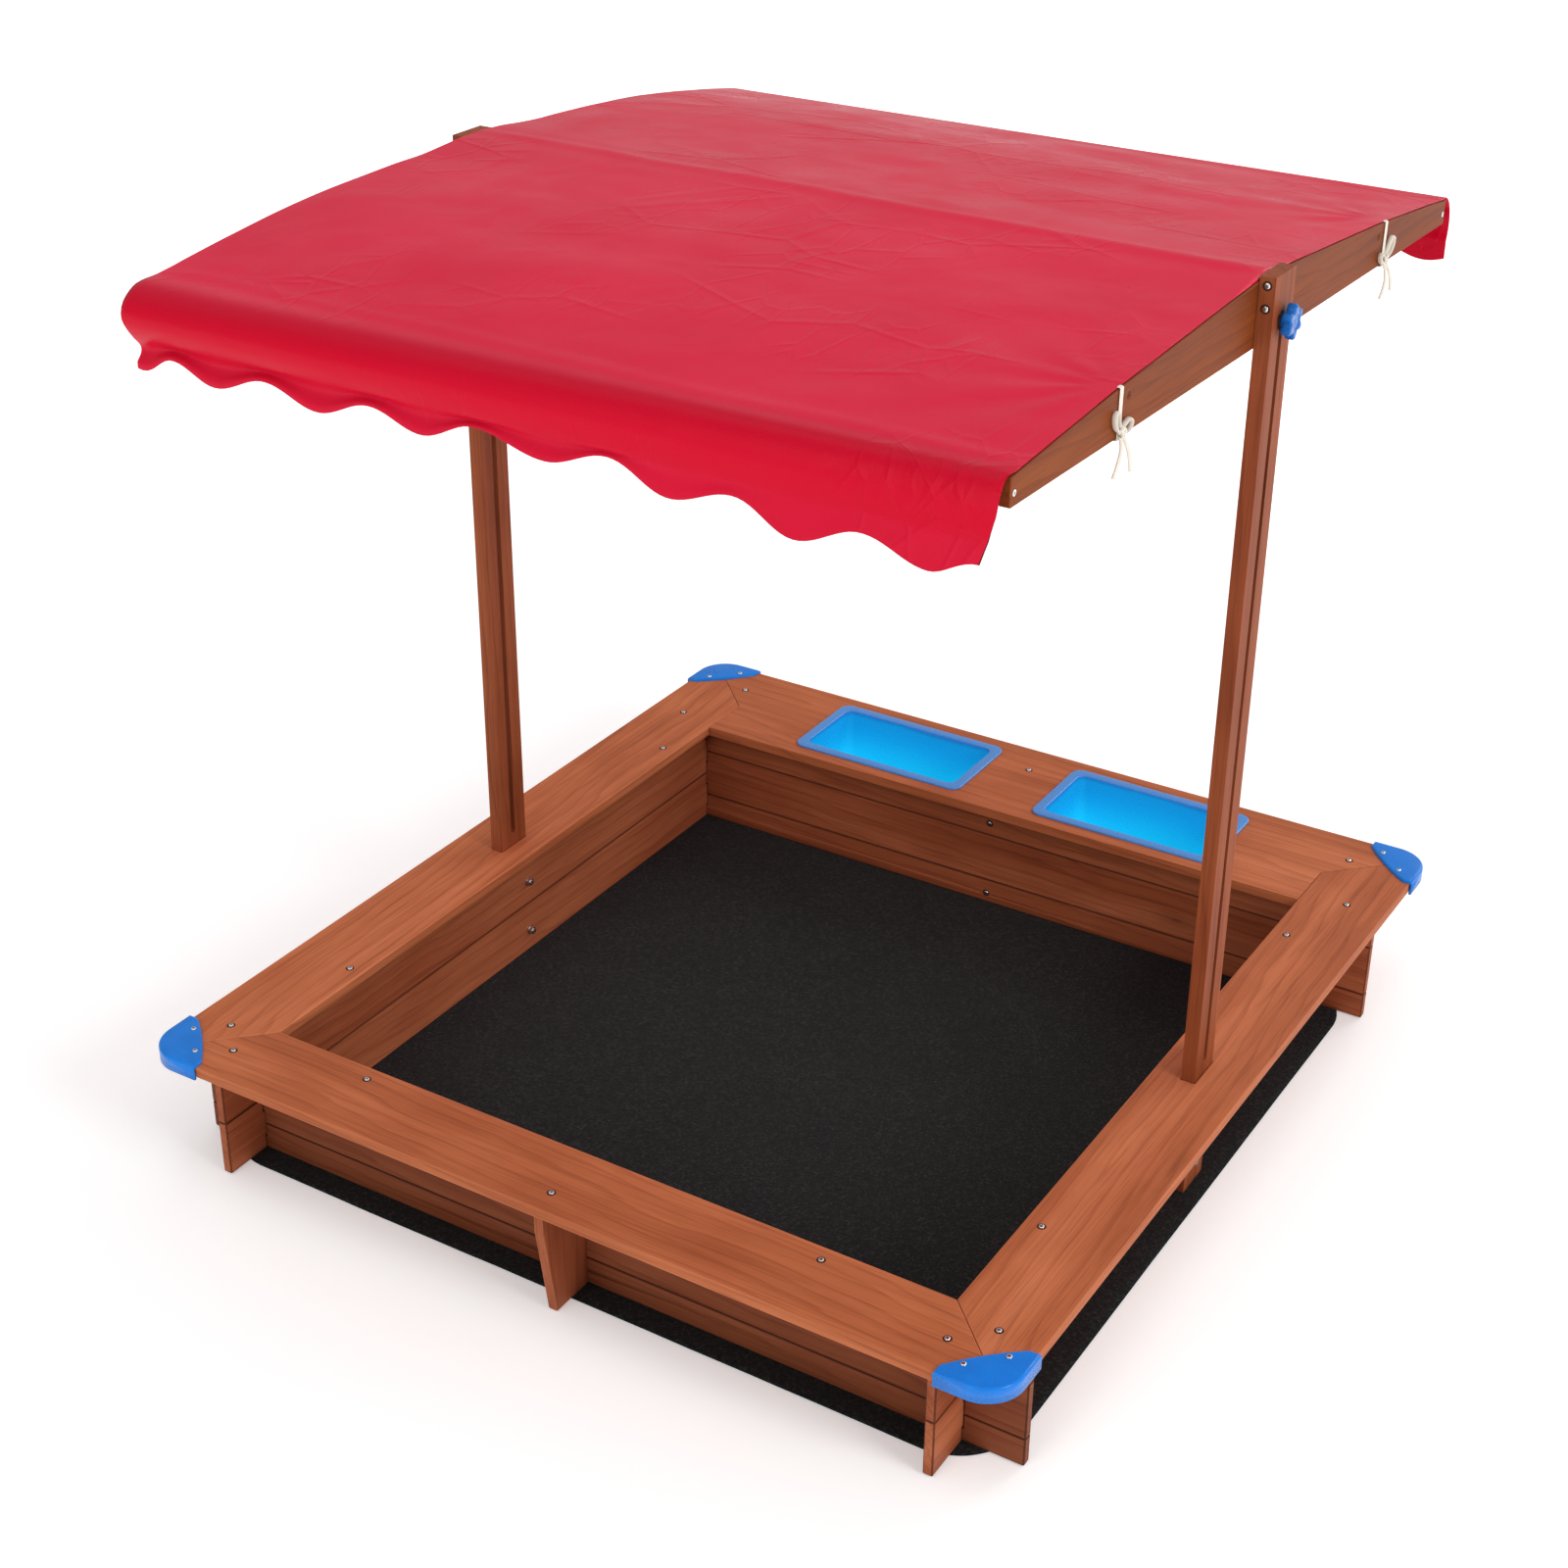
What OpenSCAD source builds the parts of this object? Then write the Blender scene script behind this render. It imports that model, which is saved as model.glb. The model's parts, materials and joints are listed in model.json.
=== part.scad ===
// Children's wooden sandbox with a height-adjustable, tilting canopy.
// Millimetres. X runs along the front, +Y towards the wide bench with the basins, +Z up.
// The origin is on the ground, under the middle of the benches.

/* [Benches] */
// Width over the side benches
bench_len_x = 1180; // [1000:10:1500]
// Depth over the front and back benches
bench_len_y = 1290; // [1100:10:1600]
// Width of the front and side benches
bench_w = 114; // [95:1:135]
// Width of the back bench, which holds the basins
back_bench_w = 199; // [190:1:240]
// Thickness of the bench planks
bench_t = 14; // [10:0.5:20]
// Corner radius of the bench ring
bench_corner_r = 54; // [40:1:65]
// Gap between two bench planks
bench_seam = 0.6; // [0.2:0.1:2]

/* [Walls] */
// Thickness of the wall boards
wall_t = 12.5; // [10:0.5:16]
// Height of a full wall board
board_h = 75.5; // [60:0.5:100]
// How far the benches stand in over the inside of the walls
bench_lip = 15; // [12:1:25]
// How far the front and back boards stop short of the benches' outer edge
end_inset_x = 11; // [8:1:30]
// How far the side boards stop short of the benches' outer edge
end_inset_y = 20; // [10:1:30]
// Side clearance in the crossing notches
lap_gap = 0.2; // [0.1:0.05:0.5]
// Thickness of the tapered brackets
bracket_t = 12.5; // [10:0.5:18]
// How far the bracket's top stops short of the bench's outer edge
bracket_inset = 5; // [2:1:20]
// How much further the bracket's foot is set back than its top
bracket_taper = 20; // [5:1:40]

/* [Ground cloth] */
// Thickness of the ground cloth
cloth_t = 1; // [0.5:0.1:2]
// Cloth beyond the side walls
cloth_margin_x = 50; // [20:1:80]
// Cloth beyond the front and back walls
cloth_margin_y = 34; // [20:1:60]
// Corner radius of the ground cloth
cloth_corner_r = 60; // [20:1:120]

/* [Corner caps] */
// Length of a cap's two outer sides
cap_leg = 88; // [75:1:100]
// Width of the cap where its inner edge ends
cap_end = 14; // [8:1:25]
// How far the inner edge bows towards the bench
cap_bulge = 6; // [3:0.5:10]
// Thickness of the cap's top plate
cap_t = 4; // [3:0.5:6]
// How far the cap stands out past the bench edge
cap_over = 4; // [3:0.5:6]
// How far the skirt reaches below the bench
cap_drop = 2; // [0:0.5:5]
// Distance of the cap screws from the near outer edge
cap_screw_near = 23; // [18:0.5:28]
// Distance of the cap screws from the far outer edge
cap_screw_far = 58; // [50:0.5:62]

/* [Basins] */
// Inside length of a basin's mouth
basin_len = 253; // [200:1:280]
// Inside width of a basin's mouth
basin_w = 130; // [100:1:132]
// Depth of a basin below the bench top
basin_depth = 110; // [60:1:140]
// Wall thickness of a basin
basin_wall = 2.5; // [1.5:0.5:4]
// Width of the flat rim
basin_rim = 13; // [8:0.5:16]
// Thickness of the rim
basin_rim_t = 3; // [2:0.5:5]
// How much each side of the basin slopes in on the way down
basin_draft = 8; // [2:0.5:15]
// Inside corner radius of the mouth
basin_r = 17; // [10:0.5:25]
// Distance of each basin's middle from the middle of the bench
basin_x = 198; // [165:1:230]
// Clearance between a basin and the back wall
basin_wall_gap = 2.5; // [1:0.5:6]
// Clearance round a basin in its cut-out
basin_gap = 1.5; // [0.5:0.5:3]

/* [Posts] */
// Post thickness, across the sandbox
post_t = 18; // [14:0.5:25]
// Post width, along the side wall
post_w = 55; // [45:1:70]
// Height of the post tops
post_top = 1164; // [900:1:1400]
// Packing strip between a post and its side wall
packer_t = 9; // [8:0.5:15]
// Width of the slot in the posts
slot_w = 9; // [8.6:0.1:12]
// Lower end of the slot above the bench
slot_rise = 18; // [10:1:60]
// Clearance round a post in its bench
post_gap = 0.5; // [0.2:0.1:2]
// Height of the lower post bolt above the ground
bolt_low_z = 32; // [20:1:40]
// Height of the upper post bolt above the ground
bolt_high_z = 112; // [95:1:125]

/* [Roof] */
// Height of the roof pivot at its highest setting
pivot_z = 1113; // [800:1:1300]
// Tilt of the roof as it stands
roof_tilt = -1.4; // [-5:0.1:5]
// How far the roof's side boards stop short of the benches, at each end
roof_short = 67; // [40:1:120]
// Thickness of the side boards
roof_t = 12; // [10:0.5:18]
// Height of a side board at its ends
roof_end_h = 29; // [29:1:40]
// Height of a side board at the breaks of its upper edge
roof_break_h = 50; // [42:1:60]
// Height of a side board at its peak
roof_peak_h = 74; // [62:1:90]
// Distance of the breaks from the middle
roof_break_y = 355; // [250:1:400]
// Height of the pivot above the side board's lower edge
pivot_drop = 28.5; // [20:0.5:40]
// Running gap between a side board and its post
roof_gap = 0.5; // [0.3:0.1:1]
// Thickness of the roof rails
rail_t = 14; // [10:0.5:20]
// Height of the roof rails
rail_h = 27; // [20:1:28]
// Distance of the quarter rails from the middle
quarter_rail_y = 338; // [200:1:344]

/* [Canopy] */
// Thickness of the canopy sheet
sheet_t = 1.2; // [0.8:0.1:2]
// How far the sheet's sides stop short of the side boards' outer faces
sheet_edge = 3; // [1:0.5:10]
// How far the sheet stands out past the side boards' ends
sheet_out = 10; // [6:1:20]
// Drop of the valance below the side boards' lower edge
valance_drop = 56; // [30:1:80]
// Depth of the scallops
scallop_h = 21; // [10:1:30]
// Length of one scallop
scallop_len = 137; // [80:1:200]
// Width of a tie
tie_w = 6; // [4:0.5:10]
// Distance of the ties from the middle of the roof
tie_y = 358; // [352:1:380]

/* [Hardware] */
// Shank radius of the wood screws
screw_r = 2; // [1.5:0.1:2.5]
// Head radius of the wood screws
screw_head_r = 4; // [3.5:0.1:5]
// Head height of the wood screws
screw_head_h = 1.6; // [1:0.1:2.5]
// Length of the wood screws under the head
screw_len = 42; // [35:1:50]
// Shank radius of the post bolts
bolt_r = 3; // [2.5:0.1:4]
// Shank radius of the pivot bolts
pivot_r = 4; // [3:0.1:4.2]
// Running clearance round a pivot bolt
pivot_gap = 0.08; // [0.03:0.01:0.1]
// Outer radius of the knobs
knob_r = 19.5; // [16:0.5:25]
// Thickness of the knobs' star
knob_t = 11; // [8:0.5:16]
// Outer radius of the pivot washers
pivot_washer_r = 11; // [9:0.5:14]

/* [Hidden] */
$fn = 48;

eps = 1;                                          // overshoot of a cut past its face
hole_gap = 0.1;                                   // clearance round a fixed screw or bolt
wood = "#a45c3e";
wood_dark = "#8b4832";
blue = "#1b6ccd";
pool_blue = "#2b93e6";
zinc = "#b9bcc0";
red = "#d23450";
cotton = "#e1d7c8";

half_x = bench_len_x / 2;
half_y = bench_len_y / 2;
wall_top = cloth_t + 2 * board_h;
bench_top = wall_top + bench_t;
side_in = half_x - bench_w + bench_lip;           // inner face of the side walls
side_out = side_in + wall_t;
front_in = half_y - bench_w + bench_lip;          // inner face of the front wall, towards -Y
front_out = front_in + wall_t;
back_in = half_y - back_bench_w + bench_lip;      // inner face of the back wall, towards +Y
back_out = back_in + wall_t;
side_mid = side_in + wall_t / 2;
front_mid = front_in + wall_t / 2;
back_mid = back_in + wall_t / 2;
end_x = half_x - end_inset_x;
end_y = half_y - end_inset_y;
notch_w = wall_t + 2 * lap_gap;
notch_h = board_h / 4;

post_in = side_out + packer_t;
post_out = post_in + post_t;
slot_low = bench_top + slot_rise;
slot_high = pivot_z + slot_w / 2 + 1;
roof_out = post_in - roof_gap;                    // outer face of the roof's side boards
roof_in = roof_out - roof_t;
roof_end = half_y - roof_short;
sheet_gap = 0.3;                                  // slack between the sheet and the boards
hang_y = roof_end + sheet_out;
sheet_half = roof_out - sheet_edge;
basin_y = back_out + basin_wall_gap + basin_wall + basin_w / 2;

bolt_head_af = 10;
bolt_head_h = 4;
nut_h = 5;
washer_t = 1.2;
washer_r = 6.5;
pivot_head_r = 9;
pivot_head_h = 4;
pivot_washer_t = 1.5;
knob_boss_h = 3;
knob_boss_r = 9;
pivot_bolt_in = roof_in - 0.3;                    // face of the pivot bolt's head
knob_in = post_out + pivot_washer_t + 0.6;
pivot_bolt_out = knob_in + knob_boss_h + knob_t - 3;
rail_screw_z = 13;                                // above the board's lower edge, at the ends
end_rail_y = roof_end - rail_t / 2;
post_screw_z = [post_top - 9.5, post_top - 34];
bracket_screw_z = [cloth_t + board_h / 5, wall_top - board_h / 4];

// Distances of the bench screws from the crossings of the walls, and from the benches' outer edge
screw_past_crossing = 40;
screw_from_front = 180;
screw_from_back = 116;
screw_from_side = 178;
screw_from_edge = 62;
front_bracket_screw = 32;
// Middle of each bench screw: into the walls they stand on, and into the brackets
bench_screw_spots = concat(
  [for (s = [-1, 1]) each [
    [s * (side_mid + screw_past_crossing), -front_mid], [s * (side_mid + screw_past_crossing), back_mid],
    [s * side_mid, screw_from_front - front_mid], [s * side_mid, back_mid - screw_from_back],
    [s * side_mid, -front_mid - screw_past_crossing], [s * side_mid, half_y - screw_from_edge],
    [s * (side_mid - screw_from_side), -front_mid]]],
  [[0, front_bracket_screw - half_y], [0, half_y - screw_from_edge]]);

// ---- shared shapes ----

module wood_screw(length) {
  translate([0, 0, -length]) cylinder(h = length + 0.01, r = screw_r);
  cylinder(h = screw_head_h, r1 = screw_head_r, r2 = screw_head_r * 0.7);
}

// Countersunk screw, its head flush with z = 0
module flush_screw(length, gap = 0) {
  translate([0, 0, -length]) cylinder(h = length, r = screw_r + gap);
  translate([0, 0, -2.5]) cylinder(h = 2.5, r1 = screw_r + gap, r2 = screw_head_r + gap);
}

module rounded_rect(w, d, r) {
  square([w - 2 * r, d], center = true);
  square([w, d - 2 * r], center = true);
  for (x = [-1, 1], y = [-1, 1])
    translate([x * (w / 2 - r), y * (d / 2 - r)]) circle(r = r);
}

module rounded_slab(w, d, r, h) linear_extrude(h) rounded_rect(w, d, r);

module on_bench_screws() for (p = bench_screw_spots) translate([p[0], p[1], bench_top]) children();

module bench_screw_holes()
  on_bench_screws() translate([0, 0, -screw_len - eps]) cylinder(h = screw_len + 2 * eps, r = screw_r + hole_gap);

// Places of the bracket screws, pointing out of the box
module on_bracket_screws() for (z = bracket_screw_z) {
  translate([0, -front_in, z]) rotate([-90, 0, 0]) children();
  translate([0, back_in, z]) rotate([90, 0, 0]) children();
}

module bracket_screw_holes()
  on_bracket_screws() translate([0, 0, -screw_len - eps]) cylinder(h = screw_len + 2 * eps, r = screw_r + hole_gap);

// Runs its children at every post bolt, their z axis pointing out of the box
module on_post_bolts() for (s = [0, 1], z = [bolt_low_z, bolt_high_z])
  mirror([s, 0, 0]) translate([0, 0, z]) rotate([0, 90, 0]) children();

module post_bolt_holes()
  on_post_bolts() cylinder(h = half_x, r = bolt_r + hole_gap);

// ---- ground cloth and walls ----

module ground_cloth() color("#222222") {
  w = 2 * (side_out + cloth_margin_x);
  d = front_out + back_out + 2 * cloth_margin_y;
  translate([0, (back_out - front_out) / 2, 0]) rounded_slab(w, d, cloth_corner_r, cloth_t);
}

// A board along X, crossed at each x in laps, notched below and above by the given depths
module lap_board(reach, low, high, laps, below, above) difference() {
  translate([reach[0], -wall_t / 2, low]) cube([reach[1] - reach[0], wall_t, high - low]);
  for (x = laps) {
    if (below > 0) translate([x - notch_w / 2, -wall_t, low - eps]) cube([notch_w, 2 * wall_t, below + eps]);
    if (above > 0) translate([x - notch_w / 2, -wall_t, high - above]) cube([notch_w, 2 * wall_t, above + eps]);
  }
}

module end_wall_board(y, low, high, below, above) color(wood_dark) difference() {
  translate([0, y, 0]) lap_board([-end_x, end_x], low, high, [-side_mid, side_mid], below, above);
  bench_screw_holes();
  bracket_screw_holes();
}

module lower_end_board(y) end_wall_board(y, cloth_t, cloth_t + board_h / 2, 0, notch_h);
module middle_end_board(y) end_wall_board(y, cloth_t + board_h / 2, cloth_t + board_h * 1.5, notch_h, notch_h);
module upper_end_board(y) end_wall_board(y, cloth_t + board_h * 1.5, wall_top, notch_h, 0);

module front_wall_lower() lower_end_board(-front_mid);
module front_wall_middle() middle_end_board(-front_mid);
module front_wall_upper() upper_end_board(-front_mid);
module back_wall_lower() lower_end_board(back_mid);
module back_wall_middle() middle_end_board(back_mid);
module back_wall_upper() upper_end_board(back_mid);

module side_wall_board(x, low) color(wood_dark) difference() {
  translate([x, 0, 0]) rotate([0, 0, 90])
    lap_board([-end_y, end_y], low, low + board_h, [-front_mid, back_mid], notch_h, notch_h);
  bench_screw_holes();
  post_bolt_holes();
}

module left_wall_lower() side_wall_board(-side_mid, cloth_t);
module left_wall_upper() side_wall_board(-side_mid, cloth_t + board_h);
module right_wall_lower() side_wall_board(side_mid, cloth_t);
module right_wall_upper() side_wall_board(side_mid, cloth_t + board_h);

// ---- benches ----

inner_x = half_x - bench_w;
mitre_gap = bench_seam * sqrt(2) / 2;

module bench_plank(outline) color(wood) difference() {
  translate([0, 0, wall_top]) linear_extrude(bench_t) intersection() {
    polygon(outline);
    rounded_rect(bench_len_x, bench_len_y, bench_corner_r);
  }
  bench_screw_holes();
  cap_screw_holes();
}

module bench_front() bench_plank([
  [-half_x + mitre_gap, -half_y], [half_x - mitre_gap, -half_y],
  [inner_x - mitre_gap, -half_y + bench_w], [-inner_x + mitre_gap, -half_y + bench_w]]);

module bench_side() difference() {
  bench_plank([
    [half_x, -half_y + mitre_gap], [half_x, half_y - mitre_gap],
    [inner_x, half_y - bench_w - mitre_gap], [inner_x, -half_y + bench_w + mitre_gap]]);
  translate([post_in - post_gap, -post_w / 2 - post_gap, 0])
    cube([post_t + 2 * post_gap, post_w + 2 * post_gap, bench_top + eps]);
}

module bench_right() bench_side();
module bench_left() mirror([1, 0, 0]) bench_side();

module bench_back() difference() {
  butt_x = inner_x - bench_seam;
  butt_y = half_y - bench_w - bench_seam + mitre_gap;
  bench_plank([
    [half_x - mitre_gap, half_y], [butt_x, butt_y], [butt_x, half_y - back_bench_w],
    [-butt_x, half_y - back_bench_w], [-butt_x, butt_y], [-half_x + mitre_gap, half_y]]);
  for (s = [-1, 1]) translate([s * basin_x, basin_y, wall_top - eps])
    rounded_slab(basin_len + 2 * (basin_wall + basin_gap), basin_w + 2 * (basin_wall + basin_gap),
                 basin_r + basin_wall + basin_gap, bench_t + 2 * eps);
}

module bench_screws() color(zinc) on_bench_screws() wood_screw(screw_len);

// ---- brackets ----

// Tapered board between a wall and the bench's overhang
module bracket(wall_y) {
  top_y = half_y - bracket_inset;
  difference() {
    translate([bracket_t / 2, 0, 0]) rotate([90, 0, -90]) linear_extrude(bracket_t)
      polygon([[-wall_y, cloth_t], [-wall_y, wall_top], [-top_y, wall_top],
               [-top_y, wall_top - board_h / 3], [-top_y + bracket_taper, cloth_t]]);
    children();
  }
}

module bracket_front() color(wood_dark) mirror([0, 1, 0]) bracket(front_out) mirror([0, 1, 0]) bracket_holes();
module bracket_back() color(wood_dark) bracket(back_out) bracket_holes();
module bracket_holes() {
  bench_screw_holes();
  bracket_screw_holes();
}
module bracket_screws() color(zinc) on_bracket_screws() wood_screw(screw_len);

// ---- corner caps ----

// Plan of the bench corner that a cap covers: the corner at the origin, bench towards -X and -Y
module bench_corner(gap) intersection() {
  translate([gap - bench_len_x, gap - bench_len_y]) square([bench_len_x, bench_len_y]);
  translate([gap - bench_len_x / 2, gap - bench_len_y / 2])
    rounded_rect(bench_len_x, bench_len_y, bench_corner_r + gap);
}

module cap_plan() {
  chord = sqrt(2) * (cap_leg - cap_end);
  edge_r = chord * chord / (8 * cap_bulge) + cap_bulge / 2;
  chord_mid = cap_over - (cap_leg + cap_end) / 2;
  edge_mid = chord_mid + (edge_r - cap_bulge) / sqrt(2);
  intersection() {
    bench_corner(cap_over);
    translate([cap_over - cap_leg, cap_over - cap_leg]) square(cap_leg);
    translate([edge_mid, edge_mid]) circle(r = edge_r, $fn = 96);
  }
}

module on_cap_screws() for (p = [[cap_screw_near, cap_screw_far], [cap_screw_far, cap_screw_near]])
  translate([-p[0], -p[1], 0]) children();

// Runs its children at every corner, turned so that the bench lies towards -X and -Y
module on_corners() for (mx = [0, 1], my = [0, 1])
  mirror([mx, 0, 0]) mirror([0, my, 0]) translate([half_x, half_y, 0]) children();

cap_screw_len = 12;

module cap_screw_holes() on_corners() on_cap_screws()
  translate([0, 0, bench_top + cap_t - cap_screw_len - eps])
    cylinder(h = cap_screw_len + 2 * eps, r = screw_r + hole_gap);

module cap() color(blue) translate([half_x, half_y, 0]) difference() {
  union() {
    translate([0, 0, bench_top]) linear_extrude(cap_t) cap_plan();
    translate([0, 0, wall_top - cap_drop]) linear_extrude(bench_t + cap_drop + 0.01) difference() {
      cap_plan();
      bench_corner(0.3);
    }
  }
  on_cap_screws() translate([0, 0, wall_top]) cylinder(h = bench_t + cap_t + eps, r = screw_r + hole_gap);
}

module cap_back_right() cap();
module cap_back_left() mirror([1, 0, 0]) cap();
module cap_front_right() mirror([0, 1, 0]) cap();
module cap_front_left() mirror([1, 0, 0]) mirror([0, 1, 0]) cap();
module cap_screws() color(zinc) on_corners() on_cap_screws()
  translate([0, 0, bench_top + cap_t]) wood_screw(cap_screw_len);

// ---- posts ----

module post() color(wood_dark) difference() {
  translate([post_in, -post_w / 2, cloth_t]) cube([post_t, post_w, post_top - cloth_t]);
  for (z = [slot_low + slot_w / 2, slot_high - slot_w / 2])
    translate([post_in - eps, 0, z]) rotate([0, 90, 0]) cylinder(h = post_t + 2 * eps, r = slot_w / 2);
  translate([post_in - eps, -slot_w / 2, slot_low + slot_w / 2])
    cube([post_t + 2 * eps, slot_w, slot_high - slot_low - slot_w]);
  post_bolt_holes();
  post_screw_holes();
}

module on_post_screws() for (s = [-1, 1], z = post_screw_z)
  translate([s * (post_in + post_t / 2), -post_w / 2, z]) rotate([90, 0, 0]) children();
module post_screw_holes() on_post_screws()
  translate([0, 0, -screw_len]) cylinder(h = screw_len + eps, r = screw_r + hole_gap);
module post_screws() color(zinc) on_post_screws() wood_screw(screw_len);

module post_right() post();
module post_left() mirror([1, 0, 0]) post();

module packer() color(wood_dark) difference() {
  translate([side_out, -post_w / 2, cloth_t]) cube([packer_t, post_w, wall_top - cloth_t]);
  post_bolt_holes();
}
module packer_right() packer();
module packer_left() mirror([1, 0, 0]) packer();

module post_bolts() color(zinc) on_post_bolts() {
  translate([0, 0, side_in - washer_t - nut_h - 2]) cylinder(h = post_out + bolt_head_h - side_in + nut_h, r = bolt_r);
  translate([0, 0, post_out]) cylinder(h = bolt_head_h, r = bolt_head_af / 2 / cos(30), $fn = 6);
}
module post_washers() color(zinc) on_post_bolts() difference() {
  translate([0, 0, side_in - washer_t]) cylinder(h = washer_t, r = washer_r);
  cylinder(h = half_x, r = bolt_r + hole_gap);
}
module post_nuts() color(zinc) on_post_bolts() difference() {
  translate([0, 0, side_in - washer_t - nut_h]) cylinder(h = nut_h, r = bolt_head_af / 2 / cos(30), $fn = 6);
  cylinder(h = half_x, r = bolt_r + hole_gap);
}

// ---- basins ----

// Tapered well, from the bench top down to the given depth
module well(len, w, r, depth) translate([0, 0, bench_top]) hull() {
  translate([0, 0, -1]) rounded_slab(len, w, r, 1);
  translate([0, 0, -depth]) rounded_slab(len - 2 * basin_draft, w - 2 * basin_draft, r, 1);
}

module basin() color(pool_blue) translate([basin_x, basin_y, 0]) difference() {
  union() {
    translate([0, 0, bench_top])
      rounded_slab(basin_len + 2 * basin_rim, basin_w + 2 * basin_rim, basin_r + basin_rim / 2, basin_rim_t);
    well(basin_len + 2 * basin_wall, basin_w + 2 * basin_wall, basin_r + basin_wall, basin_depth + basin_wall);
  }
  well(basin_len, basin_w, basin_r, basin_depth);
  translate([0, 0, bench_top - 0.01]) rounded_slab(basin_len, basin_w, basin_r, basin_rim_t + eps);
}

module basin_right() basin();
module basin_left() mirror([1, 0, 0]) basin();

// ---- lift carriage: pivot bolts, washers and knobs ----

module at_pivot() translate([0, 0, pivot_z]) rotate([0, 90, 0]) children();

module pivot_bolt() color(zinc) at_pivot() {
  translate([0, 0, pivot_bolt_in - pivot_head_h]) cylinder(h = pivot_head_h, r = pivot_head_r);
  translate([0, 0, pivot_bolt_in - 0.01]) cylinder(h = pivot_bolt_out - pivot_bolt_in, r = pivot_r);
}
module pivot_bolt_right() pivot_bolt();
module pivot_bolt_left() mirror([1, 0, 0]) pivot_bolt();

module pivot_washers() color("#2a2a2c") for (s = [0, 1]) mirror([s, 0, 0]) at_pivot() difference() {
  translate([0, 0, post_out + 0.3]) cylinder(h = pivot_washer_t, r = pivot_washer_r);
  cylinder(h = pivot_bolt_out, r = pivot_r + hole_gap);
}

module knob() color(blue) at_pivot() difference() {
  union() {
    translate([0, 0, knob_in]) cylinder(h = knob_boss_h, r = knob_boss_r);
    translate([0, 0, knob_in + knob_boss_h - 0.01]) linear_extrude(knob_t) {
      circle(r = knob_r - 5.5);
      for (a = [0:60:300]) rotate(a) translate([knob_r - 6, 0]) circle(r = 6);
    }
  }
  translate([0, 0, knob_in - eps]) cylinder(h = pivot_bolt_out - knob_in + eps + 0.3, r = pivot_r + pivot_gap);
}
module knob_right() knob();
module knob_left() mirror([1, 0, 0]) knob();

// ---- roof ----

// The roof's own frame: z = 0 at the side boards' lower edge, tilted about the pivot
module on_roof() translate([0, 0, pivot_z]) rotate([roof_tilt, 0, 0]) translate([0, 0, -pivot_drop]) children();

// Upper edge of a side board at a distance y from its middle
function board_top(y) = abs(y) < roof_break_y
  ? roof_peak_h + (roof_break_h - roof_peak_h) * abs(y) / roof_break_y
  : roof_break_h + (roof_end_h - roof_break_h) * (abs(y) - roof_break_y) / (roof_end - roof_break_y);

rail_spots = [-end_rail_y, -quarter_rail_y, 0, quarter_rail_y, end_rail_y];
function rail_top(y) = board_top(abs(y) + rail_t / 2) - 0.2;
function rail_screw_height(y) = abs(y) > roof_break_y ? rail_screw_z : rail_top(y) - rail_h / 2;

module rail_screw_places() for (s = [0, 1], y = rail_spots)
  mirror([s, 0, 0]) translate([roof_out, y, rail_screw_height(y)]) rotate([0, 90, 0]) children();

module roof_side() color(wood_dark) on_roof() difference() {
  translate([roof_in, 0, 0]) rotate([90, 0, 90]) linear_extrude(roof_t)
    polygon([[-roof_end, 0], [roof_end, 0], [roof_end, roof_end_h], [roof_break_y, roof_break_h],
             [0, roof_peak_h], [-roof_break_y, roof_break_h], [-roof_end, roof_end_h]]);
  translate([roof_in - eps, 0, pivot_drop]) rotate([0, 90, 0]) cylinder(h = roof_t + 2 * eps, r = pivot_r + pivot_gap);
  rail_screw_places() {
    flush_screw(screw_len, hole_gap);
    cylinder(h = eps, r = screw_head_r + hole_gap);
  }
}
module roof_side_right() roof_side();
module roof_side_left() mirror([1, 0, 0]) roof_side();

module rail(y) color(wood_dark) on_roof() difference() {
  translate([-roof_in, y - rail_t / 2, rail_top(y) - rail_h]) cube([2 * roof_in, rail_t, rail_h]);
  rail_screw_places() flush_screw(screw_len + eps, hole_gap);
}
module rail_front() rail(-end_rail_y);
module rail_quarter_front() rail(-quarter_rail_y);
module rail_ridge() rail(0);
module rail_quarter_back() rail(quarter_rail_y);
module rail_back() rail(end_rail_y);
module rail_screws() color(zinc) on_roof() rail_screw_places() flush_screw(screw_len);

// Underside of the sheet, from one hanging edge to the other
function sheet_line(lift) = [for (y = [-hang_y, -roof_end, -roof_break_y, 0, roof_break_y, roof_end, hang_y])
  [y, lift + (abs(y) > roof_end ? roof_end_h - 2 : board_top(y))]];
function reversed(list) = [for (i = [len(list) - 1:-1:0]) list[i]];

scallop_start = 23;                               // a lobe's lowest point
scallop_step = 12;
function scallop(x) = -valance_drop + scallop_h / 2 * (1 - cos(360 * (x - scallop_start) / scallop_len));

module valance() {
  xs = [for (x = [-sheet_half:scallop_step:sheet_half - 1]) x];
  rotate([90, 0, 0]) linear_extrude(sheet_t)
    polygon(concat([[-sheet_half, roof_end_h - 2]], [for (x = xs) [x, scallop(x)]],
                   [[sheet_half, scallop(sheet_half)], [sheet_half, roof_end_h - 2]]));
}

module canopy() color(red) on_roof() {
  translate([-sheet_half, 0, 0]) rotate([90, 0, 90]) linear_extrude(2 * sheet_half)
    polygon(concat(sheet_line(sheet_gap), reversed(sheet_line(sheet_gap + sheet_t))));
  translate([0, -hang_y + sheet_t, sheet_gap + 0.1]) valance();
  translate([0, hang_y, sheet_gap + 0.1]) valance();
}

// ---- ties ----

tie_t = 1;
knot_r = 5;
bow_r = 9;
knot_z = 8;
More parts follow.
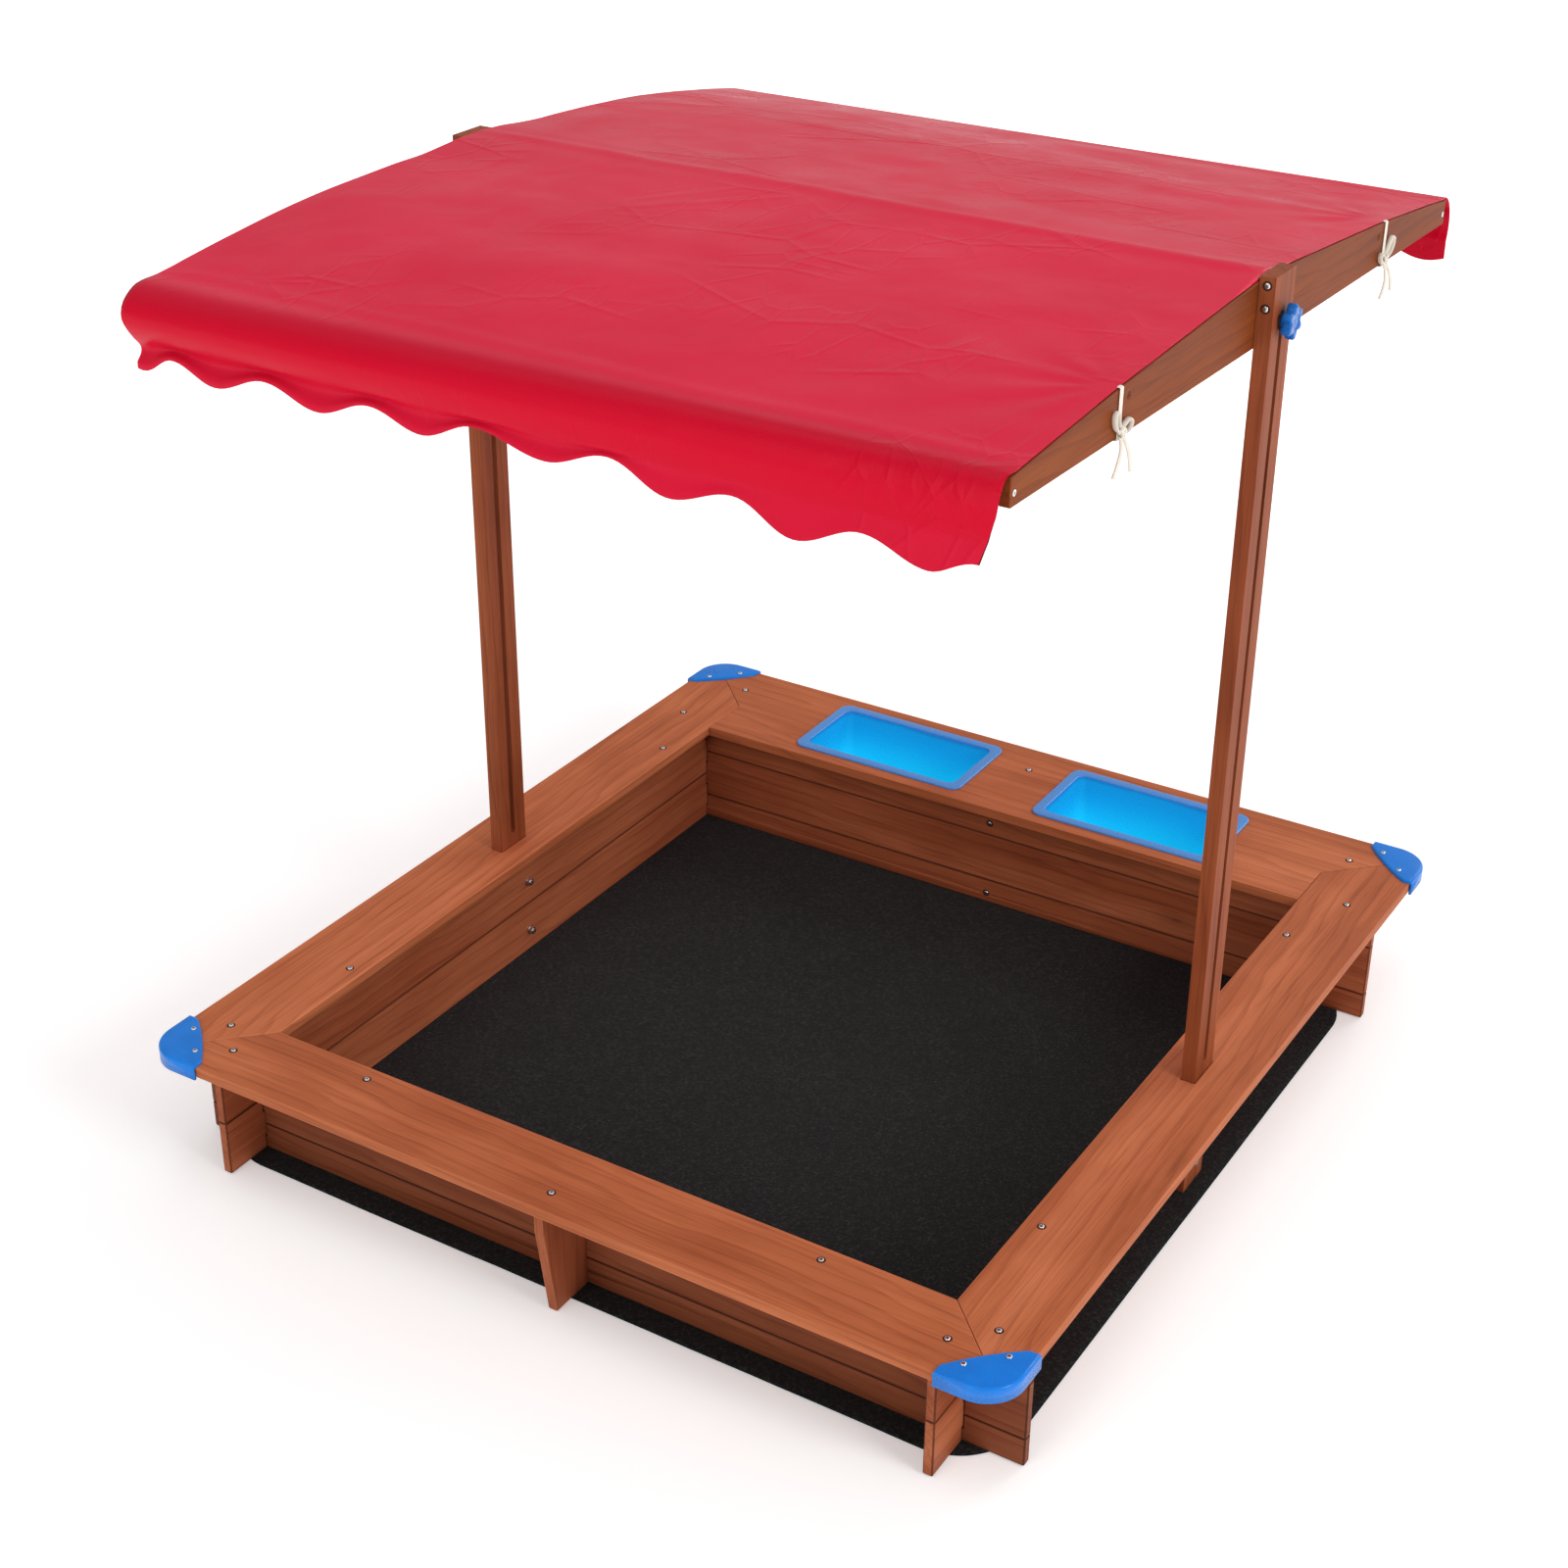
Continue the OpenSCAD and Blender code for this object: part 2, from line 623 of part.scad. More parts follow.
// Routes of the two tails, from the knot, in the right back tie's frame
tail_routes = [
  [[0, 0, 0], [3, -2, -8], [5, -5, -18], [5, -9, -28], [4, -14, -37]],
  [[0, 0, 0], [3, 3, -8], [4, 8, -17], [4, 13, -26], [3, 17, -35]]
];
tail_r = tie_w / 2;
tail_sides = 8;

// Tube with level rings at the points of a route that runs downwards
module tail(route) {
  n = len(route);
  rings = [for (p = route, i = [0:tail_sides - 1])
    [p[0] + tail_r / 2 * cos(360 * i / tail_sides), p[1] + tail_r * sin(360 * i / tail_sides), p[2]]];
  sides = [for (k = [0:n - 2], i = [0:tail_sides - 1]) let (j = (i + 1) % tail_sides)
    [k * tail_sides + i, (k + 1) * tail_sides + i, (k + 1) * tail_sides + j, k * tail_sides + j]];
  top = [for (i = [0:tail_sides - 1]) i];
  low = [for (i = [tail_sides - 1:-1:0]) (n - 1) * tail_sides + i];
  polyhedron(points = rings, faces = concat([top], sides, [low]));
}

// Band round the side board, with its knot and bow on the outer face
module tie() color(cotton) on_roof() translate([0, tie_y, 0]) {
  top = board_top(tie_y - tie_w / 2);
  band_in = sheet_half + sheet_gap;
  translate([roof_out, -tie_w / 2, -tie_t]) cube([tie_t, tie_w, top + tie_t]);
  translate([roof_in - tie_t, -tie_w / 2, -tie_t]) cube([roof_t + 2 * tie_t, tie_w, tie_t]);
  translate([roof_in - tie_t, -tie_w / 2, -tie_t]) cube([tie_t, tie_w, top + tie_t - 1]);
  translate([band_in, -tie_w / 2, top]) cube([roof_out + tie_t - band_in, tie_w, tie_t]);
  translate([roof_out + knot_r + 0.1, 0, knot_z]) sphere(r = knot_r);
  for (s = [-1, 1]) translate([roof_out + tie_t, s * (bow_r + knot_r - 3), knot_z + 4]) rotate([0, 90, 0]) difference() {
    cylinder(h = 2, r = bow_r);
    translate([0, 0, -eps]) cylinder(h = 2 + 2 * eps, r = bow_r - 3);
  }
}
module tie_tails() color(cotton) on_roof() translate([roof_out + knot_r, tie_y, knot_z - knot_r - 0.3])
  for (route = tail_routes) tail([for (p = route) p + [0, sign(route[1][1]) * (tail_r + 0.2), 0]]);

module tie_back_right() tie();
module tie_back_left() mirror([1, 0, 0]) tie();
module tie_tails_back_right() tie_tails();
module tie_tails_back_left() mirror([1, 0, 0]) tie_tails();

// The front ties are the back ones turned over the roof's middle, in the roof's own frame
module front_of_roof() translate([0, 0, pivot_z]) rotate([roof_tilt, 0, 0]) mirror([0, 1, 0])
  rotate([-roof_tilt, 0, 0]) translate([0, 0, -pivot_z]) children();
module tie_front_right() front_of_roof() tie();
module tie_front_left() mirror([1, 0, 0]) front_of_roof() tie();
module tie_tails_front_right() front_of_roof() tie_tails();
module tie_tails_front_left() mirror([1, 0, 0]) front_of_roof() tie_tails();

ground_cloth();
front_wall_lower();
front_wall_middle();
front_wall_upper();
back_wall_lower();
back_wall_middle();
back_wall_upper();
left_wall_lower();
left_wall_upper();
right_wall_lower();
right_wall_upper();
bench_front();
bench_back();
bench_left();
bench_right();
bench_screws();
cap_front_left();
cap_front_right();
cap_back_left();
cap_back_right();
cap_screws();
bracket_front();
bracket_back();
bracket_screws();
packer_left();
packer_right();
post_left();
post_right();
post_bolts();
post_washers();
post_nuts();
post_screws();
basin_left();
basin_right();
pivot_bolt_left();
pivot_bolt_right();
pivot_washers();
knob_left();
knob_right();
roof_side_left();
roof_side_right();
rail_front();
rail_quarter_front();
rail_ridge();
rail_quarter_back();
rail_back();
rail_screws();
canopy();
tie_front_left();
tie_front_right();
tie_back_left();
tie_back_right();
tie_tails_front_left();
tie_tails_front_right();
tie_tails_back_left();
tie_tails_back_right();
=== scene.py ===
import json
import math

import bmesh
import bpy
from mathutils import Matrix, Quaternion, Vector, noise


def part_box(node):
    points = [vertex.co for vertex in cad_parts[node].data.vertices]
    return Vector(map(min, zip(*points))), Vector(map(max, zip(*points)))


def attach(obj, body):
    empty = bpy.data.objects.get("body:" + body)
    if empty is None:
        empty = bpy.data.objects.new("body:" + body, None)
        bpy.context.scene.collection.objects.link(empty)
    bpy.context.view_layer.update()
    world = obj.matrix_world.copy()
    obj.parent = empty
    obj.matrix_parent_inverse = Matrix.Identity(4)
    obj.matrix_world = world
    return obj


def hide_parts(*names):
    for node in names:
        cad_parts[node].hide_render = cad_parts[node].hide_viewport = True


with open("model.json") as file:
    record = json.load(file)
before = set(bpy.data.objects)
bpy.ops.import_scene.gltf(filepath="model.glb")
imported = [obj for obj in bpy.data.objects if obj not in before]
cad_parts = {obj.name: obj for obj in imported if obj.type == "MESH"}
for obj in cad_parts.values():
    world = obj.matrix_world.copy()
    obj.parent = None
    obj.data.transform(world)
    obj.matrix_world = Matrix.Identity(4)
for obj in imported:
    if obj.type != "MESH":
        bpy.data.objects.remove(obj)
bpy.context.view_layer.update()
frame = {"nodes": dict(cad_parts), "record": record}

mm = 0.001
bodyOfNode = {node: body for body, nodes in frame["record"]["behaviour"]["bodies"].items() for node in nodes}
pivot = Vector(next(j for j in frame["record"]["behaviour"]["joints"] if j["name"] == "roof_tilt")["pos_m"])


# camera

cameraPlace = {
    "location": (1.4238, -2.4509, 1.9519),
    "forward": (-0.46125, 0.74652, -0.47953),
    "roll": 0.284,          # degrees
    "lens": 58.54,
    "sensor": 36,
    "shift": (0.0089, 0.0029),
}


def makeCamera():
    data = bpy.data.cameras.new("camera")
    data.lens = cameraPlace["lens"]
    data.sensor_width = cameraPlace["sensor"]
    data.shift_x, data.shift_y = cameraPlace["shift"]
    camera = bpy.data.objects.new("camera", data)
    bpy.context.scene.collection.objects.link(camera)
    camera.location = cameraPlace["location"]
    camera.rotation_mode = "QUATERNION"
    aim = Vector(cameraPlace["forward"]).to_track_quat("-Z", "Y")
    camera.rotation_quaternion = aim @ Quaternion((0, 0, 1), math.radians(cameraPlace["roll"]))
    bpy.context.scene.camera = camera


makeCamera()
print("camera ready")


# node helpers

def addNode(tree, kind, inputs=None, **settings):
    new = tree.nodes.new("ShaderNode" + kind)
    for key, value in settings.items():
        setattr(new, key, value)
    for key, value in (inputs or {}).items():
        if isinstance(value, bpy.types.NodeSocket):
            tree.links.new(value, new.inputs[key])
        else:
            new.inputs[key].default_value = value
    return new


def newMaterial(name, constants):
    material = bpy.data.materials.new(name)
    material.use_nodes = True
    tree = material.node_tree
    shader = tree.nodes["Principled BSDF"]
    for key, value in constants.items():
        shader.inputs[key].default_value = value
    place = addNode(tree, "TexCoord")
    return material, tree, shader, place


def mapped(tree, vector, scale, location=(0, 0, 0)):
    return addNode(tree, "Mapping", {"Vector": vector, "Scale": scale, "Location": location}).outputs[0]


def noiseOn(tree, vector, scale, detail=2.0, roughness=0.5, distortion=0.0):
    inputs = {"Vector": vector, "Scale": scale, "Detail": detail, "Roughness": roughness}
    return addNode(tree, "TexNoise", {**inputs, "Distortion": distortion})


def ramp(tree, factor, stops, smooth=False):
    new = addNode(tree, "ValToRGB", {"Fac": factor})
    new.color_ramp.interpolation = "EASE" if smooth else "LINEAR"
    while len(new.color_ramp.elements) < len(stops):
        new.color_ramp.elements.new(0.5)
    for element, (position, colour) in zip(new.color_ramp.elements, stops):
        element.position = position
        element.color = (*colour, 1) if len(colour) == 3 else colour
    return new.outputs[0]


def grey(value):
    return (value, value, value)


def mixColour(tree, factor, a, b, blend="MIX"):
    new = tree.nodes.new("ShaderNodeMix")
    new.data_type = "RGBA"
    new.blend_type = blend
    colourA, colourB = 6, 7     # places of the two colour sockets
    for place, value in ((0, factor), (colourA, a), (colourB, b)):
        if isinstance(value, bpy.types.NodeSocket):
            tree.links.new(value, new.inputs[place])
        elif place == 0:
            new.inputs[place].default_value = value
        else:
            new.inputs[place].default_value = (*value, 1)
    return new.outputs[2]


def mathOn(tree, operation, a, b=None, clamp=False):
    new = addNode(tree, "Math", operation=operation, use_clamp=clamp)
    for place, value in enumerate((a, b)):
        if isinstance(value, bpy.types.NodeSocket):
            tree.links.new(value, new.inputs[place])
        elif value is not None:
            new.inputs[place].default_value = value
    return new.outputs[0]


def bumpOn(tree, shader, height, strength, distance):
    bump = addNode(tree, "Bump", {"Height": height, "Strength": strength, "Distance": distance})
    tree.links.new(bump.outputs[0], shader.inputs["Normal"])


# wood

woodLook = {
    "along": 0.9,           # pattern scale along the grain, per metre
    "across": 20.0,
    "fineAlong": 7.0,
    "fineAcross": 380.0,
    "wave": 0.45,           # how far the grain wanders
    "lines": 1.5,           # growth lines
    "blotch": 6.0,
    "knotAlong": 3.4,
    "knotAcross": 10.0,
    "roughness": (0.46, 0.62),
    "bumpDistance": 0.0005,
}
# the front wall and post tones are darker copies of the frame tone: painted shade, the front wall's for the shade
# under the bench's overhang
woodTones = {
    "bench": ((0.410, 0.115, 0.043), (0.510, 0.152, 0.059), (0.610, 0.200, 0.086)),
    "frame": ((0.280, 0.070, 0.027), (0.370, 0.102, 0.042), (0.460, 0.142, 0.062)),
    "frontWallShade": ((0.165, 0.041, 0.016), (0.215, 0.059, 0.024), (0.270, 0.083, 0.036)),
    "post": ((0.235, 0.056, 0.019), (0.300, 0.076, 0.027), (0.370, 0.106, 0.042)),
    "roof": ((0.150, 0.031, 0.006), (0.190, 0.042, 0.009), (0.240, 0.060, 0.014)),
}


def woodMaterial(name, axis, seed, tone):
    look = woodLook
    material, tree, shader, place = newMaterial(name, {"Specular IOR Level": 0.09})
    here = place.outputs["Object"]
    drift = (seed * 1.37, seed * 2.11, seed * 0.73)
    index = "XYZ".index(axis)

    def stretched(along, across):
        scale = [across] * 3
        scale[index] = along
        return mapped(tree, here, scale, drift)

    wander = noiseOn(tree, mapped(tree, here, (4, 4, 4), drift), 1.0, 2.0)
    offset = addNode(tree, "VectorMath", {0: wander.outputs[1], 1: (0.5, 0.5, 0.5)}, operation="SUBTRACT")
    offset = addNode(tree, "VectorMath", {0: offset.outputs[0], "Scale": look["wave"]}, operation="SCALE")
    grain = addNode(tree, "VectorMath", {0: stretched(look["along"], look["across"]), 1: offset.outputs[0]},
                    operation="ADD").outputs[0]
    broad = noiseOn(tree, grain, 1.0, 4.0, 0.62).outputs[0]
    rings = addNode(tree, "TexWave", {"Vector": grain, "Scale": look["lines"], "Distortion": 7.0,
                                      "Detail": 3.0, "Detail Scale": 0.7},
                    bands_direction="DIAGONAL", wave_profile="SAW").outputs[1]
    fine = noiseOn(tree, stretched(look["fineAlong"], look["fineAcross"]), 1.0, 3.0, 0.65).outputs[0]
    blotch = noiseOn(tree, mapped(tree, here, (1, 1, 1), drift), look["blotch"], 3.0).outputs[0]
    dark, middle, light = woodTones[tone]
    colour = ramp(tree, broad, [(0.3, dark), (0.5, middle), (0.7, light)])
    lines = ramp(tree, rings, [(0.0, grey(1)), (0.72, grey(0.93)), (0.95, (0.66, 0.58, 0.55)), (1.0, grey(0.9))])
    colour = mixColour(tree, 0.55, colour, lines, "MULTIPLY")
    pores = ramp(tree, fine, [(0.34, (0.70, 0.64, 0.62)), (0.5, grey(1)), (0.72, grey(1.0))])
    colour = mixColour(tree, 0.7, colour, pores, "MULTIPLY")
    stain = ramp(tree, blotch, [(0.3, (0.86, 0.80, 0.78)), (0.6, grey(1)), (0.8, (1.0, 0.98, 0.94))], True)
    colour = mixColour(tree, 0.8, colour, stain, "MULTIPLY")
    # knots: a dark heart with a soft ring, in a few of the cells
    cells = addNode(tree, "TexVoronoi", {"Vector": stretched(look["knotAlong"], look["knotAcross"]),
                                         "Scale": 1.0, "Randomness": 1.0})
    chosen = addNode(tree, "SeparateColor", {0: cells.outputs["Color"]}).outputs[0]
    chosen = mathOn(tree, "GREATER_THAN", chosen, 0.7)
    stops = [(0.0, grey(0.75)), (0.035, grey(0.6)), (0.05, grey(0.95)), (0.075, grey(0.25)), (0.16, grey(0))]
    knot = mathOn(tree, "MULTIPLY", ramp(tree, cells.outputs["Distance"], stops), chosen)
    colour = mixColour(tree, knot, colour, tuple(0.22 * c for c in dark))
    # painted shade: the rounded faces where the wall boards meet are darkened
    seam = addNode(tree, "Attribute", attribute_name="seam").outputs["Fac"]
    colour = mixColour(tree, mathOn(tree, "MULTIPLY", seam, 0.72), colour, tuple(0.16 * c for c in dark))
    # the rounded edges of the other boards are made paler
    paleEdge = addNode(tree, "Attribute", attribute_name="paleEdgeMark").outputs["Fac"]
    paleEdge = mathOn(tree, "MULTIPLY", paleEdge, mathOn(tree, "MULTIPLY", broad, 0.45))
    colour = mixColour(tree, paleEdge, colour, tuple(1.15 * c + 0.02 for c in light))
    tree.links.new(colour, shader.inputs["Base Color"])
    low, high = look["roughness"]
    tree.links.new(ramp(tree, broad, [(0.3, grey(low)), (0.7, grey(high))]), shader.inputs["Roughness"])
    height = mathOn(tree, "SUBTRACT", mathOn(tree, "MULTIPLY", fine, 0.6), mathOn(tree, "MULTIPLY", rings, 0.12))
    height = mathOn(tree, "SUBTRACT", height, mathOn(tree, "MULTIPLY", knot, 0.5))
    bumpOn(tree, shader, height, 0.5, look["bumpDistance"])
    return material


# other finishes

def plasticMaterial(name, colour, deep, scale=900.0):
    constants = {"Specular IOR Level": 0.22, "Coat Weight": 0.08, "Coat Roughness": 0.08}
    material, tree, shader, place = newMaterial(name, constants)
    here = place.outputs["Object"]
    cloud = noiseOn(tree, here, 30.0, 2.0).outputs[0]
    tree.links.new(ramp(tree, cloud, [(0.3, deep), (0.7, colour)], True), shader.inputs["Base Color"])
    skin = noiseOn(tree, here, scale, 2.0).outputs[0]
    tree.links.new(ramp(tree, skin, [(0.3, grey(0.2)), (0.7, grey(0.32))]), shader.inputs["Roughness"])
    bumpOn(tree, shader, skin, 0.12, 0.0003)
    return material


def basinMaterial(rimHeight, depth):
    constants = {"Specular IOR Level": 0.5, "Coat Weight": 0.2, "Coat Roughness": 0.15}
    material, tree, shader, place = newMaterial("basinPlastic", constants)
    here = place.outputs["Object"]
    up = addNode(tree, "SeparateXYZ", {0: here}).outputs["Z"]
    inside = mathOn(tree, "DIVIDE", mathOn(tree, "SUBTRACT", rimHeight, up), depth, True)
    within = addNode(tree, "Attribute", attribute_name="inside").outputs["Fac"]
    inside = mathOn(tree, "MULTIPLY", inside, within)
    cloud = noiseOn(tree, here, 14.0, 2.0).outputs[0]
    uneven = mathOn(tree, "MULTIPLY", mathOn(tree, "SUBTRACT", cloud, 0.5), 0.08)
    inside = mathOn(tree, "ADD", inside, mathOn(tree, "MULTIPLY", uneven, within))
    # colour down the well: a paler rim, a band of painted shade just under it, then painted light making the well
    # brighter and more cyan towards its floor
    stops = [(0.0, (0.055, 0.255, 0.680)), (0.022, (0.040, 0.220, 0.640)), (0.040, (0.006, 0.290, 0.640)),
             (0.3, (0.006, 0.330, 0.680)), (0.85, (0.008, 0.520, 0.780))]
    tree.links.new(ramp(tree, inside, stops), shader.inputs["Base Color"])
    # painted light: the walls of the well glow, more towards its floor, in place of light reaching into it
    glow = ramp(tree, inside, [(0.03, (0, 0, 0)), (0.08, (0.001, 0.075, 0.13)), (0.9, (0.004, 0.26, 0.32))], True)
    tree.links.new(glow, shader.inputs["Emission Color"])
    shader.inputs["Emission Strength"].default_value = 1.0
    skin = noiseOn(tree, here, 700.0, 2.0).outputs[0]
    tree.links.new(ramp(tree, skin, [(0.3, grey(0.22)), (0.7, grey(0.34))]), shader.inputs["Roughness"])
    bumpOn(tree, shader, skin, 0.12, 0.0003)
    return material


def zincMaterial():
    material, tree, shader, place = newMaterial("zinc", {"Metallic": 1.0})
    here = place.outputs["Object"]
    spangle = noiseOn(tree, here, 420.0, 3.0).outputs[0]
    tint = ramp(tree, spangle, [(0.3, (0.50, 0.50, 0.52)), (0.7, (0.78, 0.78, 0.79))])
    tree.links.new(tint, shader.inputs["Base Color"])
    tree.links.new(ramp(tree, spangle, [(0.3, grey(0.34)), (0.7, grey(0.2))]), shader.inputs["Roughness"])
    bumpOn(tree, shader, spangle, 0.15, 0.0002)
    return material


def fibreMaterial(name, dark, light):
    material, tree, shader, place = newMaterial(name, {"Roughness": 0.85, "Specular IOR Level": 0.1})
    fibre = noiseOn(tree, place.outputs["Object"], 900.0, 3.0).outputs[0]
    tint = ramp(tree, fibre, [(0.3, dark), (0.7, light)])
    tree.links.new(tint, shader.inputs["Base Color"])
    bumpOn(tree, shader, fibre, 0.4, 0.0003)
    return material


def canopyMaterial(canopyLength):
    material, tree, shader, place = newMaterial("coatedCanopySheet", {"Specular IOR Level": 0.07})
    here = place.outputs["Object"]
    flat = place.outputs["UV"]
    cloud = noiseOn(tree, here, 5.0, 3.0).outputs[0]
    topRedWithSheen = ramp(tree, cloud, [(0.25, (0.590, 0.009, 0.040)), (0.75, (0.640, 0.013, 0.050))], True)
    along = mathOn(tree, "DIVIDE", addNode(tree, "SeparateXYZ", {0: flat}).outputs["Y"], canopyLength)
    # the top is a paler, pinker red than the rolls, a painted sheen, and the front valance lies between the two; the
    # fold above the front roll gets painted shade
    topShare = ramp(tree, along, [(0.045, grey(0.45)), (0.060, grey(0)), (0.085, grey(0)), (0.125, grey(1)),
                                  (0.875, grey(1)), (0.915, grey(0))], True)
    tint = mixColour(tree, topShare, (0.570, 0.0025, 0.022), topRedWithSheen)
    foldShade = ramp(tree, along, [(0.070, grey(1)), (0.096, grey(0.84)), (0.125, grey(1))], True)
    tint = mixColour(tree, 1.0, tint, foldShade, "MULTIPLY")
    tree.links.new(tint, shader.inputs["Base Color"])
    # creases left by packing: straight folds that meet at corners, only in patches
    folds = addNode(tree, "TexVoronoi", {"Vector": mapped(tree, here, (1.0, 1.7, 1.0)), "Scale": 5.5},
                    feature="DISTANCE_TO_EDGE").outputs["Distance"]
    ridge = ramp(tree, folds, [(0.0, grey(1)), (0.02, grey(0.5)), (0.06, grey(0))], True)
    finer = addNode(tree, "TexVoronoi", {"Vector": mapped(tree, here, (1.9, 1.0, 1.0)), "Scale": 12.0},
                    feature="DISTANCE_TO_EDGE").outputs["Distance"]
    smallRidge = ramp(tree, finer, [(0.0, grey(1)), (0.03, grey(0.5)), (0.08, grey(0))], True)
    patch = ramp(tree, noiseOn(tree, here, 4.3, 1.0).outputs[0], [(0.45, grey(0)), (0.62, grey(1))], True)
    softly = noiseOn(tree, here, 11.0, 2.0, 0.5, 0.5).outputs[0]
    threads = 110.0
    warp = addNode(tree, "TexWave", {"Vector": flat, "Scale": threads}, bands_direction="X").outputs[1]
    weft = addNode(tree, "TexWave", {"Vector": flat, "Scale": threads}, bands_direction="Y").outputs[1]
    weave = mathOn(tree, "MULTIPLY", warp, weft)
    crinkle = mathOn(tree, "ADD", mathOn(tree, "MULTIPLY", ridge, 0.7), mathOn(tree, "MULTIPLY", smallRidge, 0.4))
    height = mathOn(tree, "ADD", softly, mathOn(tree, "MULTIPLY", crinkle, mathOn(tree, "MULTIPLY", patch, 0.7)))
    height = mathOn(tree, "ADD", height, mathOn(tree, "MULTIPLY", weave, 0.04))
    bumpOn(tree, shader, height, 0.4, 0.004)
    tree.links.new(ramp(tree, softly, [(0.3, grey(0.26)), (0.7, grey(0.36))]), shader.inputs["Roughness"])
    return material


def canopyEdgeMaterial():
    # painted shade: the sheet's edge is a dark red so it shows as a dark line and not a lit one
    material, tree, shader, place = newMaterial("canopyEdgeShade", {"Roughness": 0.9, "Specular IOR Level": 0.05})
    fibre = noiseOn(tree, place.outputs["Object"], 800.0, 2.0).outputs[0]
    tint = ramp(tree, fibre, [(0.3, (0.16, 0.004, 0.012)), (0.7, (0.30, 0.008, 0.024))])
    tree.links.new(tint, shader.inputs["Base Color"])
    return material


def groundClothMaterial():
    constants = {"Specular IOR Level": 0.15, "Sheen Weight": 0.05}
    material, tree, shader, place = newMaterial("nonWovenCloth", constants)
    here = place.outputs["Object"]
    fleck = noiseOn(tree, here, 260.0, 4.0, 0.7).outputs[0]
    patch = noiseOn(tree, here, 9.0, 3.0).outputs[0]
    tint = ramp(tree, fleck, [(0.36, grey(0.0035)), (0.52, (0.0115, 0.0115, 0.012)), (0.68, grey(0.036))])
    shade = ramp(tree, patch, [(0.3, grey(0.85)), (0.7, grey(1.0))], True)
    tree.links.new(mixColour(tree, 1.0, tint, shade, "MULTIPLY"), shader.inputs["Base Color"])
    dots = addNode(tree, "TexVoronoi", {"Vector": here, "Scale": 330.0, "Randomness": 0.35}).outputs["Distance"]
    tree.links.new(ramp(tree, fleck, [(0.3, grey(0.8)), (0.7, grey(0.95))]), shader.inputs["Roughness"])
    bumpOn(tree, shader, mathOn(tree, "ADD", fleck, mathOn(tree, "MULTIPLY", dots, 0.6)), 0.9, 0.0012)
    return material


def cottonMaterial():
    constants = {"Specular IOR Level": 0.2, "Sheen Weight": 0.3, "Sheen Roughness": 0.5}
    material, tree, shader, place = newMaterial("cottonTape", constants)
    here = place.outputs["Object"]
    yarn = addNode(tree, "TexWave", {"Vector": here, "Scale": 260.0, "Distortion": 1.5, "Detail": 1.0},
                   bands_direction="DIAGONAL").outputs[1]
    fuzz = noiseOn(tree, here, 700.0, 3.0).outputs[0]
    tint = ramp(tree, yarn, [(0.1, (0.56, 0.49, 0.40)), (0.6, (0.78, 0.72, 0.63))], True)
    tree.links.new(mixColour(tree, mathOn(tree, "MULTIPLY", fuzz, 0.3), tint, (0.86, 0.82, 0.74)),
                   shader.inputs["Base Color"])
    tree.links.new(ramp(tree, fuzz, [(0.3, grey(0.75)), (0.7, grey(0.9))]), shader.inputs["Roughness"])
    bumpOn(tree, shader, mathOn(tree, "ADD", yarn, fuzz), 0.5, 0.0004)
    return material


blue = plasticMaterial("capPlastic", (0.003, 0.200, 0.720), (0.002, 0.175, 0.640))
# the knobs are a darker blue than the caps, partly their own colour and partly painted shade against the key light
# falling straight on them
knobBlueShaded = plasticMaterial("knobPlastic", (0.002, 0.120, 0.440), (0.001, 0.095, 0.370))
washerBlack = plasticMaterial("washerPlastic", (0.022, 0.022, 0.024), (0.014, 0.014, 0.015))
zinc = zincMaterial()
# a dark ring round each raised screw head
screwRing = fibreMaterial("darkScrewRing", (0.015, 0.006, 0.004), (0.080, 0.028, 0.014))
stainedPlug = fibreMaterial("stainedPlug", (0.120, 0.032, 0.011), (0.175, 0.049, 0.017))
cotton = cottonMaterial()
print("finishes ready")


# mesh helpers

def onRoof(point):
    return roofPlace @ Vector(point)


roofLook = {
    "tilt": -1.4,           # degrees
    "pivotDrop": 28.5,      # mm, pivot above the side boards' lower edge
    "outer": 512.0,         # outer face of the side boards
    "inner": 500.0,
    "end": 578.0,
    "breakAt": 355.0,
    "heights": (29.0, 50.0, 74.0),      # of a side board at its end, break and peak
}
roofPlace = (Matrix.Translation(pivot) @ Matrix.Rotation(math.radians(roofLook["tilt"]), 4, "X")
             @ Matrix.Translation((0, 0, -roofLook["pivotDrop"] * mm)) @ Matrix.Scale(mm, 4))


def boardTop(y):
    low, middle, high = roofLook["heights"]
    bend = roofLook["breakAt"]
    away = abs(y)
    if away < bend:
        return high + (middle - high) * away / bend
    return middle + (low - middle) * (away - bend) / (roofLook["end"] - bend)


def addPiece(name, bm, body, materials, nodes, smooth=None):
    # smooth: the largest angle in degrees that is shaded smooth, or None for flat faces
    mesh = bpy.data.meshes.new(name)
    bm.to_mesh(mesh)
    bm.free()
    for material in materials:
        mesh.materials.append(material)
    if smooth is not None:
        mesh.shade_smooth()
        mesh.set_sharp_from_angle(angle=math.radians(smooth))
    piece = bpy.data.objects.new(name, mesh)
    bpy.context.scene.collection.objects.link(piece)
    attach(piece, body)
    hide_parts(*nodes)
    return piece


